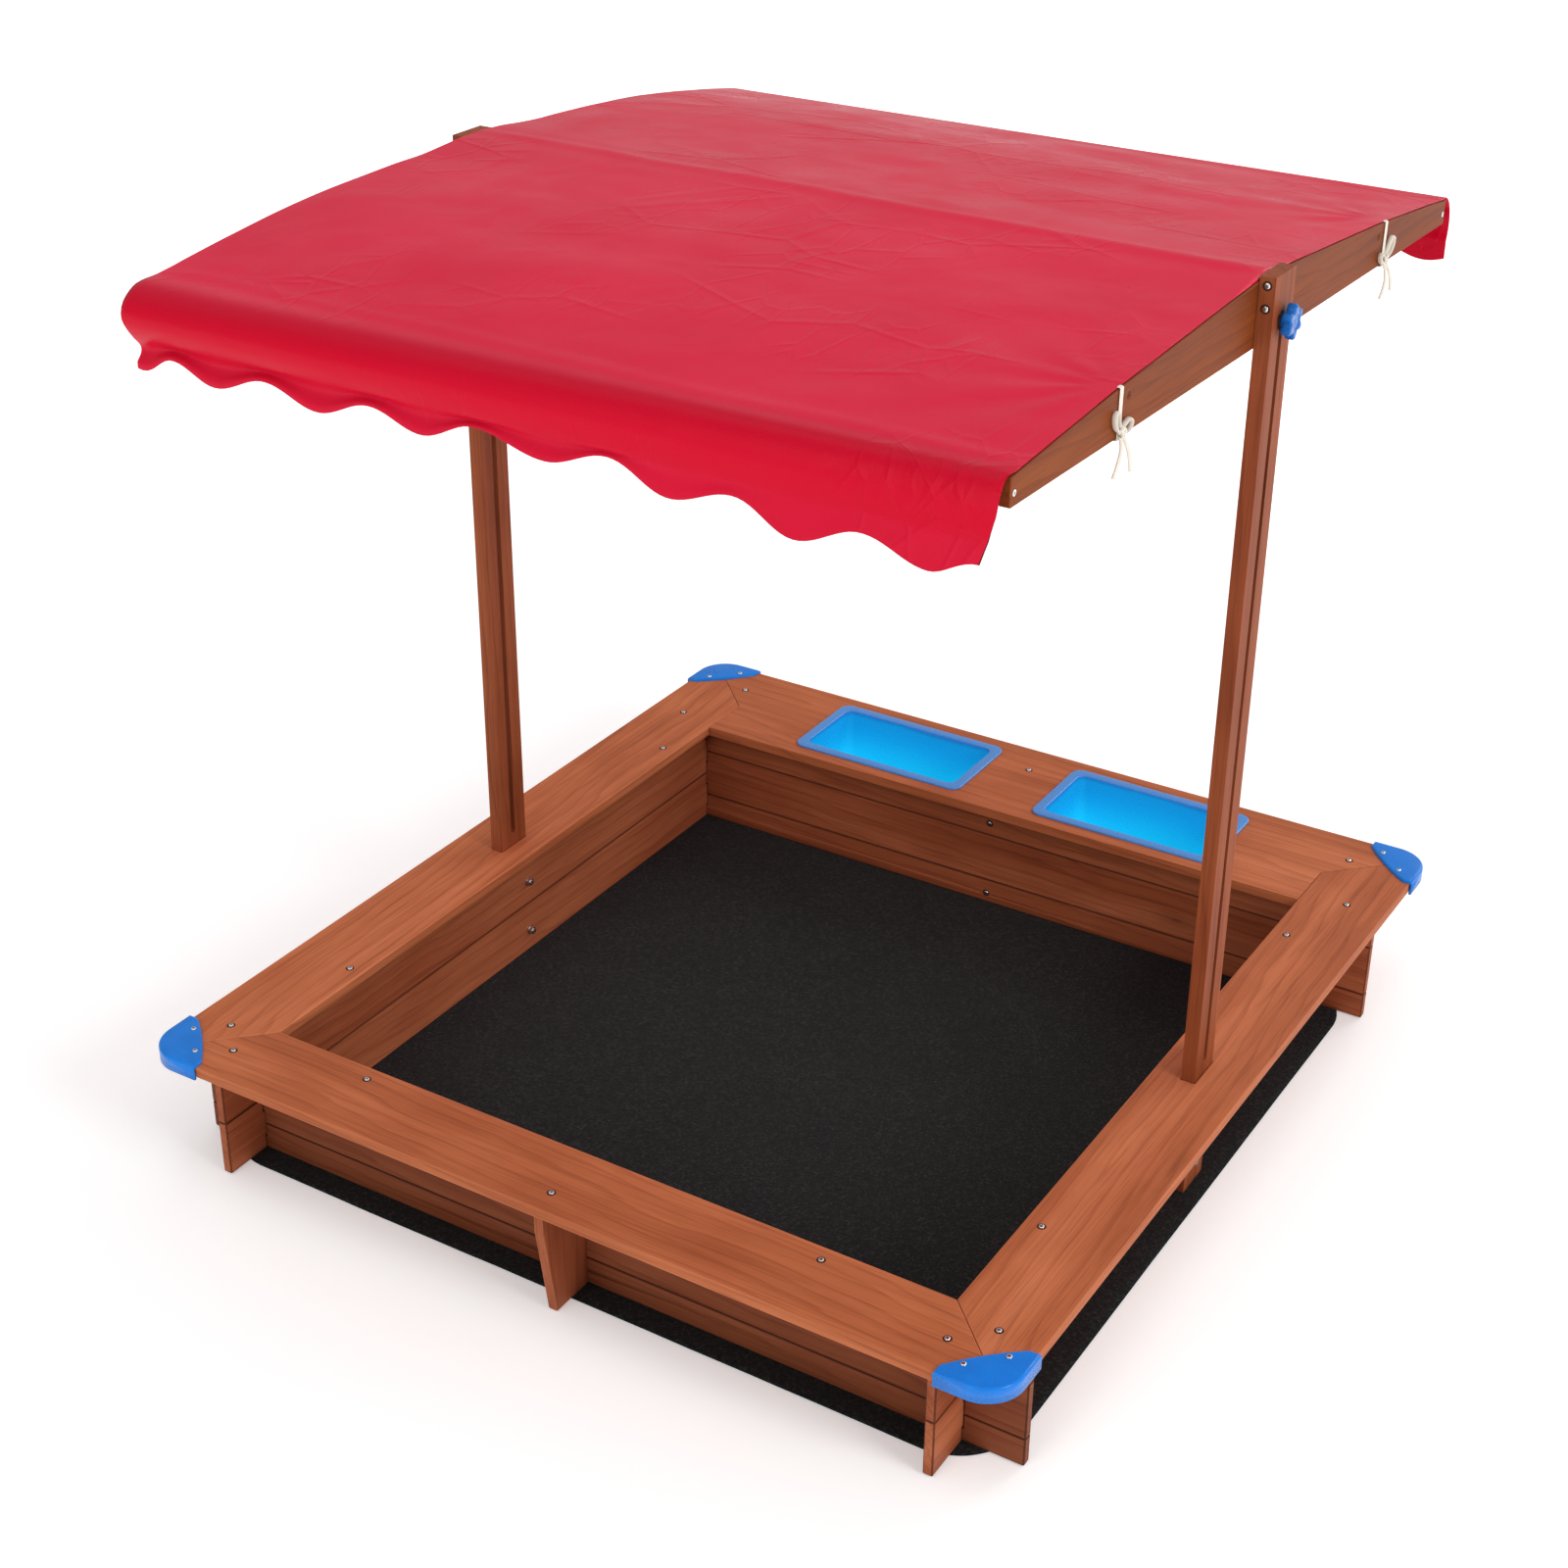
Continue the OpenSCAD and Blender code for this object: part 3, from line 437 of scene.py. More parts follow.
def loft(bm, rings, capFirst=True, capLast=True):
    # rings of equally many points, each extruded from the one before
    ring = bmesh.ops.create_circle(bm, cap_ends=False, radius=1.0, segments=len(rings[0]))["verts"]
    for vert, point in zip(ring, rings[0]):
        vert.co = point
    edges = [bm.edges.get(pair) for pair in zip(ring, ring[1:] + ring[:1])]
    if capFirst:
        bmesh.ops.edgeloop_fill(bm, edges=edges)
    for points in rings[1:]:
        made = bmesh.ops.extrude_edge_only(bm, edges=edges)["geom"]
        fresh = {v for v in made if isinstance(v, bmesh.types.BMVert)}
        ring = [next(e.other_vert(v) for e in v.link_edges if e.other_vert(v) in fresh) for v in ring]
        for vert, point in zip(ring, points):
            vert.co = point
        edges = [bm.edges.get(pair) for pair in zip(ring, ring[1:] + ring[:1])]
    if capLast:
        bmesh.ops.edgeloop_fill(bm, edges=edges)
    return ring


def smoothPath(points, steps):
    # Catmull-Rom curve through the points
    points = [Vector(p) for p in points]
    ends = [2 * points[0] - points[1]] + points + [2 * points[-1] - points[-2]]
    path = []
    for a, b, c, d in zip(ends, ends[1:], ends[2:], ends[3:]):
        for k in range(steps):
            t = k / steps
            path.append(0.5 * (2 * b + (c - a) * t + (2 * a - 5 * b + 4 * c - d) * t * t
                               + (3 * b - a - 3 * c + d) * t ** 3))
    return path + [points[-1]]


def roundCorners(points, rounds):
    # Chaikin's rule: every round cuts each corner by a quarter of its two sides
    points = [Vector(p) for p in points]
    for _ in range(rounds):
        cut = [points[0]]
        for a, b in zip(points, points[1:]):
            cut += [a.lerp(b, 0.25), a.lerp(b, 0.75)]
        points = cut + [points[-1]]
    return points


def tapeRings(path, width, thick, wide, sides, closed=False):
    # a flat oval section along a path; wide is the direction of its width
    rings = []
    last = len(path) - 1
    for k, point in enumerate(path):
        if closed:
            along = path[(k + 1) % len(path)] - path[k - 1]
        else:
            along = path[min(k + 1, last)] - path[max(k - 1, 0)]
        along.normalize()
        across = (wide - along * wide.dot(along)).normalized()
        flat = along.cross(across)
        turns = [2 * math.pi * i / sides for i in range(sides)]
        rings.append([point + across * (width / 2 * math.cos(a)) + flat * (thick / 2 * math.sin(a)) for a in turns])
    return rings


def recalculated(bm):
    bmesh.ops.remove_doubles(bm, verts=bm.verts, dist=1e-6)
    bmesh.ops.recalc_face_normals(bm, faces=bm.faces)
    return bm


# tie tails, the free cords

tailLook = {
    # from the knot, in the right back tie's own place, in metres
    "routes": [
        [(0, 0, 0), (0.003, -0.002, -0.008), (0.005, -0.005, -0.018), (0.005, -0.009, -0.028),
         (0.004, -0.014, -0.037)],
        [(0, 0, 0), (0.003, 0.003, -0.008), (0.004, 0.008, -0.017), (0.004, 0.013, -0.026),
         (0.003, 0.017, -0.035)],
    ],
    "diameter": 0.006,
    "width": 0.006,
    "thick": 0.0034,
    "tieY": 358.0,          # of the ties, from the roof's middle
    "knotZ": 8.0,
    "knotR": 5.0,
    "apart": 3.2,           # of the two tails at the knot
}


def tiePoint(point, side, end):
    # a point of the right back tie, in mm on the roof, moved to another corner
    x, y, z = point
    return onRoof((side * x, end * y, z))


def makeTails(cornerName, side, end):
    look = tailLook
    for number, route in enumerate(look["routes"]):
        sign = 1 if route[1][1] > 0 else -1
        start = Vector((roofLook["outer"] + look["knotR"], look["tieY"] + sign * look["apart"],
                        look["knotZ"] - look["knotR"] - 0.3))
        points = [tiePoint(start + Vector(p) / mm, side, end) for p in route]
        path = smoothPath(points, 6)
        wide = (tiePoint((0, 1, 0), side, end) - tiePoint((0, 0, 0), side, end)).normalized()
        bm = bmesh.new()
        loft(bm, tapeRings(path, look["width"], look["thick"], wide, 12))
        piece = addPiece(f"tail_{cornerName}_{number + 1}", recalculated(bm), "roof", [cotton],
                         [f"tie_tails_{cornerName}"], 40)


corners = {"front_left": (-1, -1), "front_right": (1, -1), "back_left": (-1, 1), "back_right": (1, 1)}
for cornerName, (side, end) in corners.items():
    makeTails(cornerName, side, end)
print("tie tails ready")


# ties

tieLook = {
    "width": 8.0,
    "thick": 1.7,
    "bigLoop": [(1, 2), (6, 9), (10, 18), (14, 23), (19, 20), (17, 11), (11, 4), (1, 0)],
    "smallLoop": [(-1, 1), (-8, 6), (-15, 9), (-19, 5), (-15, -1), (-8, -3), (-1, -1)],
    "loopWidth": 6.4,
    "loopThick": 2.7,
    "loopOut": 2.6,         # how far the loops stand off the board
    "knotTurn": 1.6,        # size of the knot's winding
    "knotThick": 3.8,
}


def makeTie(cornerName, side, end):
    look, tail = tieLook, tailLook
    outer, inner, y = roofLook["outer"], roofLook["inner"], tail["tieY"]
    proud = look["thick"] / 2 + 0.1
    top = boardTop(y - look["width"] / 2) + proud
    bandPath = [(outer - 2.6, y, top), (outer + proud, y, top), (outer + proud, y, -proud),
                (inner - proud, y, -proud), (inner - proud, y, top - 2)]
    bandPath = [tiePoint(p, side, end) for p in sharpened(bandPath, 1.2)]
    wide = (tiePoint((0, 1, 0), side, end) - tiePoint((0, 0, 0), side, end)).normalized()
    bm = bmesh.new()
    loft(bm, tapeRings(bandPath, look["width"] * mm, look["thick"] * mm, wide, 10))
    for loop in (look["bigLoop"], look["smallLoop"]):
        middle = (len(loop) - 1) / 2
        points = []
        for k, (dy, dz) in enumerate(loop):
            out = outer + look["loopOut"] + 2.2 * math.sin(math.pi * k / (len(loop) - 1)) + (k - middle) * 0.25
            points.append(tiePoint((out, y + dy, tail["knotZ"] + dz), side, end))
        outward = (tiePoint((1, 0, 0), side, end) - tiePoint((0, 0, 0), side, end)).normalized()
        path = smoothPath(points, 5)
        loft(bm, tapeRings(path, look["loopWidth"] * mm, look["loopThick"] * mm, outward, 8))
    knot = []
    steps = 42
    for k in range(steps):
        t = 2 * math.pi * k / steps
        local = Vector((-math.sin(3 * t), math.sin(t) + 2 * math.sin(2 * t), math.cos(t) - 2 * math.cos(2 * t)))
        local = local * look["knotTurn"] + Vector((outer + tail["knotR"] - 0.4, y, tail["knotZ"]))
        knot.append(tiePoint(local, side, end))
    rings = tapeRings(knot, look["knotThick"] * mm, look["knotThick"] * mm, Vector((1, 0.01, 0.02)), 8, True)
    loft(bm, rings + rings[:1], capFirst=False, capLast=False)
    addPiece(f"tie_{cornerName}_tape", recalculated(bm), "roof", [cotton], [f"tie_{cornerName}"], 50)


def sharpened(points, radius):
    # the path with each inner corner turned on a small arc
    points = [Vector(p) for p in points]
    path = [points[0]]
    for a, b, c in zip(points, points[1:], points[2:]):
        before = b + (a - b).normalized() * radius
        after = b + (c - b).normalized() * radius
        path += [before, before.lerp(b, 0.55).lerp(b.lerp(after, 0.45), 0.5), after]
    return path + [points[-1]]


for cornerName, (side, end) in corners.items():
    makeTie(cornerName, side, end)
print("ties ready")


# boards: the imported shapes with rounded edges, paler on most boards and darkened with painted shade at the wall
# seams

boards = {
    "X": ["front_wall_lower", "front_wall_middle", "front_wall_upper", "back_wall_lower", "back_wall_middle",
          "back_wall_upper", "bench_front", "bench_back", "rail_front", "rail_quarter_front", "rail_ridge",
          "rail_quarter_back", "rail_back"],
    "Y": ["left_wall_lower", "left_wall_upper", "right_wall_lower", "right_wall_upper", "bench_left",
          "bench_right", "roof_side_left", "roof_side_right"],
    "Z": ["bracket_front", "bracket_back", "packer_left", "packer_right", "post_left", "post_right"],
}
boardLook = {"round": 0.0014, "wallRound": 0.0018, "shortest": 0.006, "sharpest": 25.0}


def mergedCopy(node):
    bm = bmesh.new()
    bm.from_mesh(frame["nodes"][node].data)
    bmesh.ops.remove_doubles(bm, verts=bm.verts, dist=1e-6)
    bmesh.ops.dissolve_limit(bm, angle_limit=math.radians(0.5), verts=bm.verts, edges=bm.edges)
    return bm


def roundEdges(bm, width, shortest, sharpest, layerName, segments=2):
    mark = bm.faces.layers.float.new(layerName)
    edges = [e for e in bm.edges if len(e.link_faces) == 2 and e.calc_length() > shortest
             and e.calc_face_angle(0) > math.radians(sharpest)]
    made = bmesh.ops.bevel(bm, geom=edges, offset=width, offset_type="OFFSET", segments=segments, affect="EDGES",
                           profile=0.5, material=-1, clamp_overlap=True)
    for face in made["faces"]:
        face[mark] = 1.0
    return bm


def makeBoards():
    seed = 1
    for axis, nodes in boards.items():
        for node in nodes:
            isBench = node.startswith("bench")
            tone = "bench" if isBench else "roof" if bodyOfNode[node] == "roof" else "frame"
            # posts and front wall boards take the darker tones, painted shade
            tone = "post" if node.startswith("post") else tone
            tone = "frontWallShade" if node.startswith("front_wall") else tone
            isWall = "wall" in node
            width = boardLook["wallRound"] if isWall else boardLook["round"]
            # the wall boards' rounded faces are marked for painted shade, the other boards' for paler edges
            bm = roundEdges(mergedCopy(node), width, boardLook["shortest"], boardLook["sharpest"],
                            "seam" if isWall else "paleEdgeMark")
            material = woodMaterial(f"wood_{node}", axis, seed, tone)
            addPiece(f"{node}_board", bm, bodyOfNode[node],
                     [material], [node])
            seed += 1


makeBoards()
print("boards ready")


# screws, bolts, nuts and washers

screwLook = {
    "headR": 3.5,
    "headH": 1.6,
    "shankR": 2.0,
    "sides": 24,
    "crossArm": 1.9,
    "crossHalf": 0.42,
    "crossDeep": 1.1,
    "holeR": 5.4,
    "pluggedTo": 0.45,      # screws of the middle rails are stained over
}


def islands(node):
    # lowest and highest corner of each separate solid of a node
    bm = bmesh.new()
    bm.from_mesh(frame["nodes"][node].data)
    bmesh.ops.remove_doubles(bm, verts=bm.verts, dist=1e-6)
    todo = set(bm.verts)
    found = []
    while todo:
        group, edge = set(), [todo.pop()]
        while edge:
            vert = edge.pop()
            group.add(vert)
            for link in vert.link_edges:
                other = link.other_vert(vert)
                if other in todo:
                    todo.discard(other)
                    edge.append(other)
        low = Vector([min(v.co[i] for v in group) for i in range(3)])
        high = Vector([max(v.co[i] for v in group) for i in range(3)])
        found.append((low, high))
    bm.free()
    return sorted(found, key=lambda box: tuple(box[0]))


def circlePoints(radius, z, sides, turn=0.0):
    turns = [2 * math.pi * k / sides + turn for k in range(sides)]
    return [Vector((radius * math.cos(a), radius * math.sin(a), z)) for a in turns]


def crossPoints(arm, half, z):
    # a plus sign, counter-clockwise
    quarter = [(arm, -half), (arm, half), (half, half)]
    points = []
    for turn in range(4):
        spin = Matrix.Rotation(math.pi / 2 * turn, 3, "Z")
        points += [spin @ Vector((x, y, z)) for x, y in quarter]
    return points


def addScrew(bm, place, length, turn, flush=False, ring=True):
    # a cross-head screw, its seat at the origin, pointing up, in mm
    look = screwLook
    sides, r, h = look["sides"], look["headR"], look["headH"]
    part = bmesh.new()
    if flush:
        steps = [(look["shankR"], -length), (look["shankR"], -2.5), (r - 0.15, -0.1), (r * 0.62, 0.05)]
    else:
        steps = [(look["shankR"], -length), (look["shankR"], 0.0), (r, 0.0), (r, h * 0.25), (r * 0.9, h * 0.68),
                 (r * 0.72, h * 0.93), (r * 0.55, h)]
    last = loft(part, [circlePoints(radius, z, sides) for radius, z in steps], capLast=False)
    top = steps[-1][1]
    rimEdges = [part.edges.get((a, b)) for a, b in zip(last, last[1:] + last[:1])]
    cross = [part.verts.new(p) for p in crossPoints(look["crossArm"], look["crossHalf"], top)]
    crossEdges = [part.edges.new(pair) for pair in zip(cross, cross[1:] + cross[:1])]
    bmesh.ops.triangle_fill(part, use_beauty=True, use_dissolve=False, edges=rimEdges + crossEdges)
    made = bmesh.ops.extrude_edge_only(part, edges=crossEdges)["geom"]
    low = [v for v in made if isinstance(v, bmesh.types.BMVert)]
    for vert in low:
        vert.co = (vert.co.x * 0.75, vert.co.y * 0.75, top - look["crossDeep"])
    bottom = [e for e in made if isinstance(e, bmesh.types.BMEdge) and all(v in low for v in e.verts)]
    bmesh.ops.edgeloop_fill(part, edges=bottom)
    recalculated(part)
    if ring and not flush:
        outer = circlePoints(look["holeR"], 0.02, sides)
        inner = circlePoints(r - 0.2, 0.14, sides)
        start = len(part.faces)
        loft(part, [outer, inner], capFirst=False, capLast=False)
        part.faces.ensure_lookup_table()
        for face in part.faces[start:]:
            face.material_index = 1
            if face.normal.z < 0:
                face.normal_flip()
    bmesh.ops.transform(part, matrix=place @ Matrix.Rotation(turn, 4, "Z") @ Matrix.Scale(mm, 4), verts=part.verts)
    mesh = bpy.data.meshes.new("part")
    part.to_mesh(mesh)
    part.free()
    bm.from_mesh(mesh)
    bpy.data.meshes.remove(mesh)


screwGroups = {
    # direction of the heads, and whether the heads are flush
    "bench_screws": ("up", False),
    "cap_screws": ("up", False),
    "bracket_screws": ("inward", False),
    "post_screws": ("front", False),
    "rail_screws": ("sideways", True),
}


def screwSeat(direction, low, high, flush):
    centre = (low + high) / 2
    head = 0.0 if flush else screwLook["headH"] * mm
    if direction == "up":
        return Matrix.Translation((centre.x, centre.y, high.z - head)), (high - low).z
    if direction == "front":
        seat = Matrix.Translation((centre.x, low.y + head, centre.z))
        return seat @ Matrix.Rotation(math.radians(90), 4, "X"), (high - low).y
    if direction == "inward":
        if centre.y < 0:
            seat = Matrix.Translation((centre.x, high.y - head, centre.z))
            return seat @ Matrix.Rotation(math.radians(-90), 4, "X"), (high - low).y
        seat = Matrix.Translation((centre.x, low.y + head, centre.z))
        return seat @ Matrix.Rotation(math.radians(90), 4, "X"), (high - low).y
    sign = 1 if centre.x > 0 else -1
    seat = Matrix.Translation((high.x if sign > 0 else low.x, centre.y, centre.z))
    return seat @ Matrix.Rotation(math.radians(90 * sign), 4, "Y"), (high - low).x


def makeScrews():
    for group, (direction, flush) in screwGroups.items():
        bm = bmesh.new()
        for number, (low, high) in enumerate(islands(group)):
            place, size = screwSeat(direction, low, high, flush)
            length = size / mm - (0 if flush else screwLook["headH"])
            start = len(bm.faces)
            addScrew(bm, place, length, number * 0.7, flush, group != "cap_screws")
            if flush and abs(low.y) < screwLook["pluggedTo"]:
                bm.faces.ensure_lookup_table()
                for face in bm.faces[start:]:
                    face.material_index = 2
        addPiece(f"{group}_set", bm, bodyOfNode[group], [zinc, screwRing, stainedPlug], [group], 35)


def makeSoftened(node, name, width, material, smooth=30):
    bm = mergedCopy(node)
    edges = [e for e in bm.edges if len(e.link_faces) == 2 and e.calc_face_angle(0) > math.radians(40)]
    bmesh.ops.bevel(bm, geom=edges, offset=width, offset_type="OFFSET", segments=2, affect="EDGES",
                    profile=0.5, material=-1, clamp_overlap=True)
    return addPiece(name, bm, bodyOfNode[node], [material], [node], smooth)


makeScrews()
makeSoftened("post_washers", "post_washer_set", 0.0002, zinc)
makeSoftened("post_nuts", "post_nut_set", 0.0004, zinc)
makeSoftened("post_bolts", "post_bolt_set", 0.0004, zinc)
makeSoftened("pivot_bolt_left", "pivot_bolt_left_shaped", 0.0006, zinc)
makeSoftened("pivot_bolt_right", "pivot_bolt_right_shaped", 0.0006, zinc)
makeSoftened("pivot_washers", "pivot_washer_set", 0.0003, washerBlack)
print("hardware ready")


# corner caps

capLook = {
    "leg": 84.0,
    "end": 14.0,
    "bulge": 3.5,
    "outerR": 47.0,
    "plate": 4.0,
    "skirt": 20.0,
    "round": 3.6,
    "wall": 3.4,
}


def capOutline():
    # counter-clockwise from the inner edge's right end; the outer corner is at the origin
    look = capLook
    leg, end, r = look["leg"], look["end"], look["outerR"]
    start, finish = Vector((-end, -leg, 0)), Vector((-leg, -end, 0))
    arc = [Vector((-r, -r, 0)) + Vector((r * math.cos(a), r * math.sin(a), 0))
           for a in [math.radians(90 * k / 20) for k in range(21)]]
    outward = Vector((-1, -1, 0)).normalized()
    steps = 12
    inner = []
    for k in range(1, steps):
        t = k / steps
        inner.append(finish.lerp(start, t) + outward * look["bulge"] * 4 * t * (1 - t))
    outer = [Vector((0, -leg, 0)), *arc, Vector((-leg, 0, 0))]
    return outer, [finish, *inner, start]


def makeCap(cornerName, side, end):
    look = capLook
    node = f"cap_{cornerName}"
    low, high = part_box(node)
    corner = Vector((high.x if side > 0 else low.x, high.y if end > 0 else low.y, high.z))
    outer, inner = capOutline()
    bm = bmesh.new()
    verts = [bm.verts.new(p) for p in outer + inner]
    top = bm.faces.new(verts)
    edges = list(top.edges)
    made = bmesh.ops.extrude_edge_only(bm, edges=edges)["geom"]
    lowVerts = [v for v in made if isinstance(v, bmesh.types.BMVert)]
    bmesh.ops.translate(bm, vec=(0, 0, -look["plate"]), verts=lowVerts)
    outerSpots = {(round(p.x, 3), round(p.y, 3)) for p in outer}
    skirtEdges = [e for e in made if isinstance(e, bmesh.types.BMEdge) and all(v in lowVerts for v in e.verts)
                  and all((round(v.co.x, 3), round(v.co.y, 3)) in outerSpots for v in e.verts)]
    deep = bmesh.ops.extrude_edge_only(bm, edges=skirtEdges)["geom"]
    deepVerts = [v for v in deep if isinstance(v, bmesh.types.BMVert)]
    bmesh.ops.translate(bm, vec=(0, 0, look["plate"] - look["skirt"]), verts=deepVerts)
    bmesh.ops.bevel(bm, geom=[e for e in top.edges], offset=look["round"], offset_type="OFFSET", segments=5,
                    affect="EDGES", profile=0.5, material=-1, clamp_overlap=True)
    bmesh.ops.recalc_face_normals(bm, faces=bm.faces)
    bm.faces.ensure_lookup_table()
    highest = max(bm.faces, key=lambda f: f.calc_center_median().z)
    if highest.normal.z < 0:
        bmesh.ops.reverse_faces(bm, faces=bm.faces)
    place = Matrix.Translation(corner) @ Matrix.Diagonal((side * mm, end * mm, mm, 1))
    bmesh.ops.transform(bm, matrix=place, verts=bm.verts)
    if side * end < 0:
        bmesh.ops.reverse_faces(bm, faces=bm.faces)
    piece = addPiece(f"{node}_shell", bm, bodyOfNode[node], [blue], [node], 40)
    wall = piece.modifiers.new("wall", "SOLIDIFY")
    wall.thickness = look["wall"] * mm
    wall.offset = -1


for cornerName, (side, end) in corners.items():
    makeCap(cornerName, side, end)
print("caps ready")


# clamping knobs

knobLook = {
    "middleR": 16.4,
    "lobe": 3.1,
    "lobes": 6,
    "bossR": 9.0,
    "bossH": 3.0,
    "thick": 11.0,
    "round": 3.0,
    "sides": 96,
}


def lobedRing(inset, z):
    look = knobLook
    ring = []
    for k in range(look["sides"]):
        a = 2 * math.pi * k / look["sides"]
        r = look["middleR"] + look["lobe"] * math.cos(look["lobes"] * a) - inset
        ring.append(Vector((r * math.cos(a), r * math.sin(a), z)))
    return ring


def makeKnob(node, side):
    look = knobLook
    low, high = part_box(node)
    boss, thick, turn = look["bossH"], look["thick"], look["round"]
    rings = [circlePoints(look["bossR"], 0, look["sides"]), circlePoints(look["bossR"], boss, look["sides"])]
    rings.append(lobedRing(turn, boss))
    quarter = [math.radians(90 * k / 5) for k in range(1, 6)]
    rings += [lobedRing(turn * (1 - math.sin(a)), boss + turn * (1 - math.cos(a))) for a in quarter]
    rings += [lobedRing(turn * (1 - math.cos(a)), boss + thick - turn * (1 - math.sin(a)))
              for a in [0.0, *quarter]]
    top = boss + thick
    rings += [circlePoints(8.6, top, look["sides"]), circlePoints(7.6, top - 0.8, look["sides"]),
              circlePoints(6.2, top - 0.9, look["sides"]), circlePoints(3.0, top - 0.5, look["sides"])]
    bm = bmesh.new()
    loft(bm, rings)
    recalculated(bm)
    inner = low.x if side > 0 else high.x
    place = (Matrix.Translation((inner, (low.y + high.y) / 2, (low.z + high.z) / 2))
             @ Matrix.Rotation(math.radians(90 * side), 4, "Y") @ Matrix.Scale(mm, 4))
    bmesh.ops.transform(bm, matrix=place, verts=bm.verts)
    addPiece(f"{node}_star", bm, bodyOfNode[node], [knobBlueShaded], [node], 40)


makeKnob("knob_left", -1)
makeKnob("knob_right", 1)
print("knobs ready")


# basins

basinLook = {
    "rim": 15.0,
    "rimT": 3.0,
    "wall": 2.5,
    "depth": 110.0,
    "draft": 8.0,
    "cornerR": 12.0,
    "lip": 1.3,
    "footR": 14.0,
}


def roundedRing(width, depth, radius, z, perCorner=10):
    ring = []
    for turn, (sx, sy) in enumerate([(1, 1), (-1, 1), (-1, -1), (1, -1)]):
        centre = Vector((sx * (width / 2 - radius), sy * (depth / 2 - radius), z))
        for k in range(perCorner + 1):
            a = math.pi / 2 * (turn + k / perCorner)
            ring.append(centre + Vector((radius * math.cos(a), radius * math.sin(a), 0)))
    return ring


def makeBasin(node):
    look = basinLook
    low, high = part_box(node)
    outerW, outerD = (high.x - low.x) / mm, (high.y - low.y) / mm
    innerW, innerD = outerW - 2 * look["rim"], outerD - 2 * look["rim"]
    rimT, r, lip, wall = look["rimT"], look["cornerR"], look["lip"], look["wall"]
    rings = []
    # outside of the well, from its foot up to the rim
    for share in (0.0, 0.5, 1.0):
        shrink = look["draft"] * (1 - share)
        z = -(look["depth"] + wall - 3) * (1 - share)
        rings.append(roundedRing(innerW + 2 * (wall - shrink), innerD + 2 * (wall - shrink), r + wall, z))
    outR = r + 4
    rings.append(roundedRing(outerW - 0.8, outerD - 0.8, outR, 0.0))
    for a in [math.radians(t) for t in (0, 30, 60, 90)]:
        inset = lip * (1 - math.cos(a))
        rings.append(roundedRing(outerW - 2 * inset, outerD - 2 * inset, outR, rimT - lip + lip * math.sin(a)))
    for a in [math.radians(t) for t in (0, 30, 60, 90)]:
        grow = lip * (1 - math.sin(a))
        rings.append(roundedRing(innerW + 2 * grow, innerD + 2 * grow, r + grow, rimT - lip * (1 - math.cos(a))))
    foot = look["footR"]
    for share in (0.25, 0.5, 0.75):
        shrink = look["draft"] * share
        rings.append(roundedRing(innerW - 2 * shrink, innerD - 2 * shrink, r, rimT - look["depth"] * share))
    for a in [math.radians(t) for t in (0, 22.5, 45, 67.5, 90)]:
        shrink = look["draft"] + foot * (1 - math.cos(a))
        z = rimT - look["depth"] + foot - foot * math.sin(a)
        rings.append(roundedRing(innerW - 2 * shrink, innerD - 2 * shrink, max(r - 4, 6), z))
    bm = bmesh.new()
    loft(bm, rings)
    recalculated(bm)
    within = bm.faces.layers.float.new("inside")
    for face in bm.faces:
        centre = face.calc_center_median()
        inward = face.normal.x * centre.x + face.normal.y * centre.y < -1 or face.normal.z > 0.6
        face[within] = 1.0 if inward and centre.z < rimT - 0.5 and face.normal.z > -0.5 else 0.0
    place = Matrix.Translation(((low.x + high.x) / 2, (low.y + high.y) / 2, high.z - rimT * mm)) @ Matrix.Scale(mm, 4)
    bmesh.ops.transform(bm, matrix=place, verts=bm.verts)
    addPiece(f"{node}_shell", bm, bodyOfNode[node], [basinBlue], [node], 40)


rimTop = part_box("basin_left")[1].z
basinBlue = basinMaterial(rimTop, basinLook["depth"] * mm)
makeBasin("basin_left")
makeBasin("basin_right")
print("basins ready")


# ground cloth

clothLook = {
    "cells": 96,
    "cornerR": 0.085,
    "thick": 0.0008,
    "ripple": 0.0022,
    "wallsX": 0.5035,       # half width over the walls
    "pitX": 0.470,
    "pitY": (-0.525, 0.440),
}


def makeGroundCloth():
    look = clothLook
    low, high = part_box("ground_cloth")
    centre = (low + high) / 2
    halfX, halfY = (high.x - low.x) / 2, (high.y - low.y) / 2
    bm = bmesh.new()
    bmesh.ops.create_grid(bm, x_segments=look["cells"], y_segments=look["cells"], size=1.0)
    r = look["cornerR"]
    for vert in bm.verts:
        x, y = vert.co.x * halfX, vert.co.y * halfY
        dx, dy = abs(x) - (halfX - r), abs(y) - (halfY - r)
        if dx > 0 and dy > 0:
            pull = max(dx, dy) / math.hypot(dx, dy)
            x = math.copysign(halfX - r + dx * pull, x)
            y = math.copysign(halfY - r + dy * pull, y)
        x, y = x + centre.x, y + centre.y
        spot = Vector((x * 5, y * 5, 0.3))
        wavy = 0.5 + 0.5 * noise.noise(spot) + 0.25 * noise.noise(spot * 3)
        inPit = min(look["pitX"] - abs(x), y - look["pitY"][0], look["pitY"][1] - y) / 0.05
        inPit = max(0.0, min(1.0, inPit))
        outside = max(abs(x) - look["wallsX"], -y - 0.566, y - 0.481) / 0.03
        outside = max(0.0, min(1.0, outside))
        lift = look["ripple"] * wavy * (0.6 * inPit + outside)
        vert.co = (x, y, look["thick"] / 2 + 0.0001 + max(0.0, lift))
    piece = addPiece("ground_cloth_sheet", bm, bodyOfNode["ground_cloth"],
                     [groundClothMaterial()], ["ground_cloth"], 60)
    wall = piece.modifiers.new("thickness", "SOLIDIFY")
    wall.thickness = look["thick"]
    wall.offset = 0


makeGroundCloth()
print("ground cloth ready")


# canopy

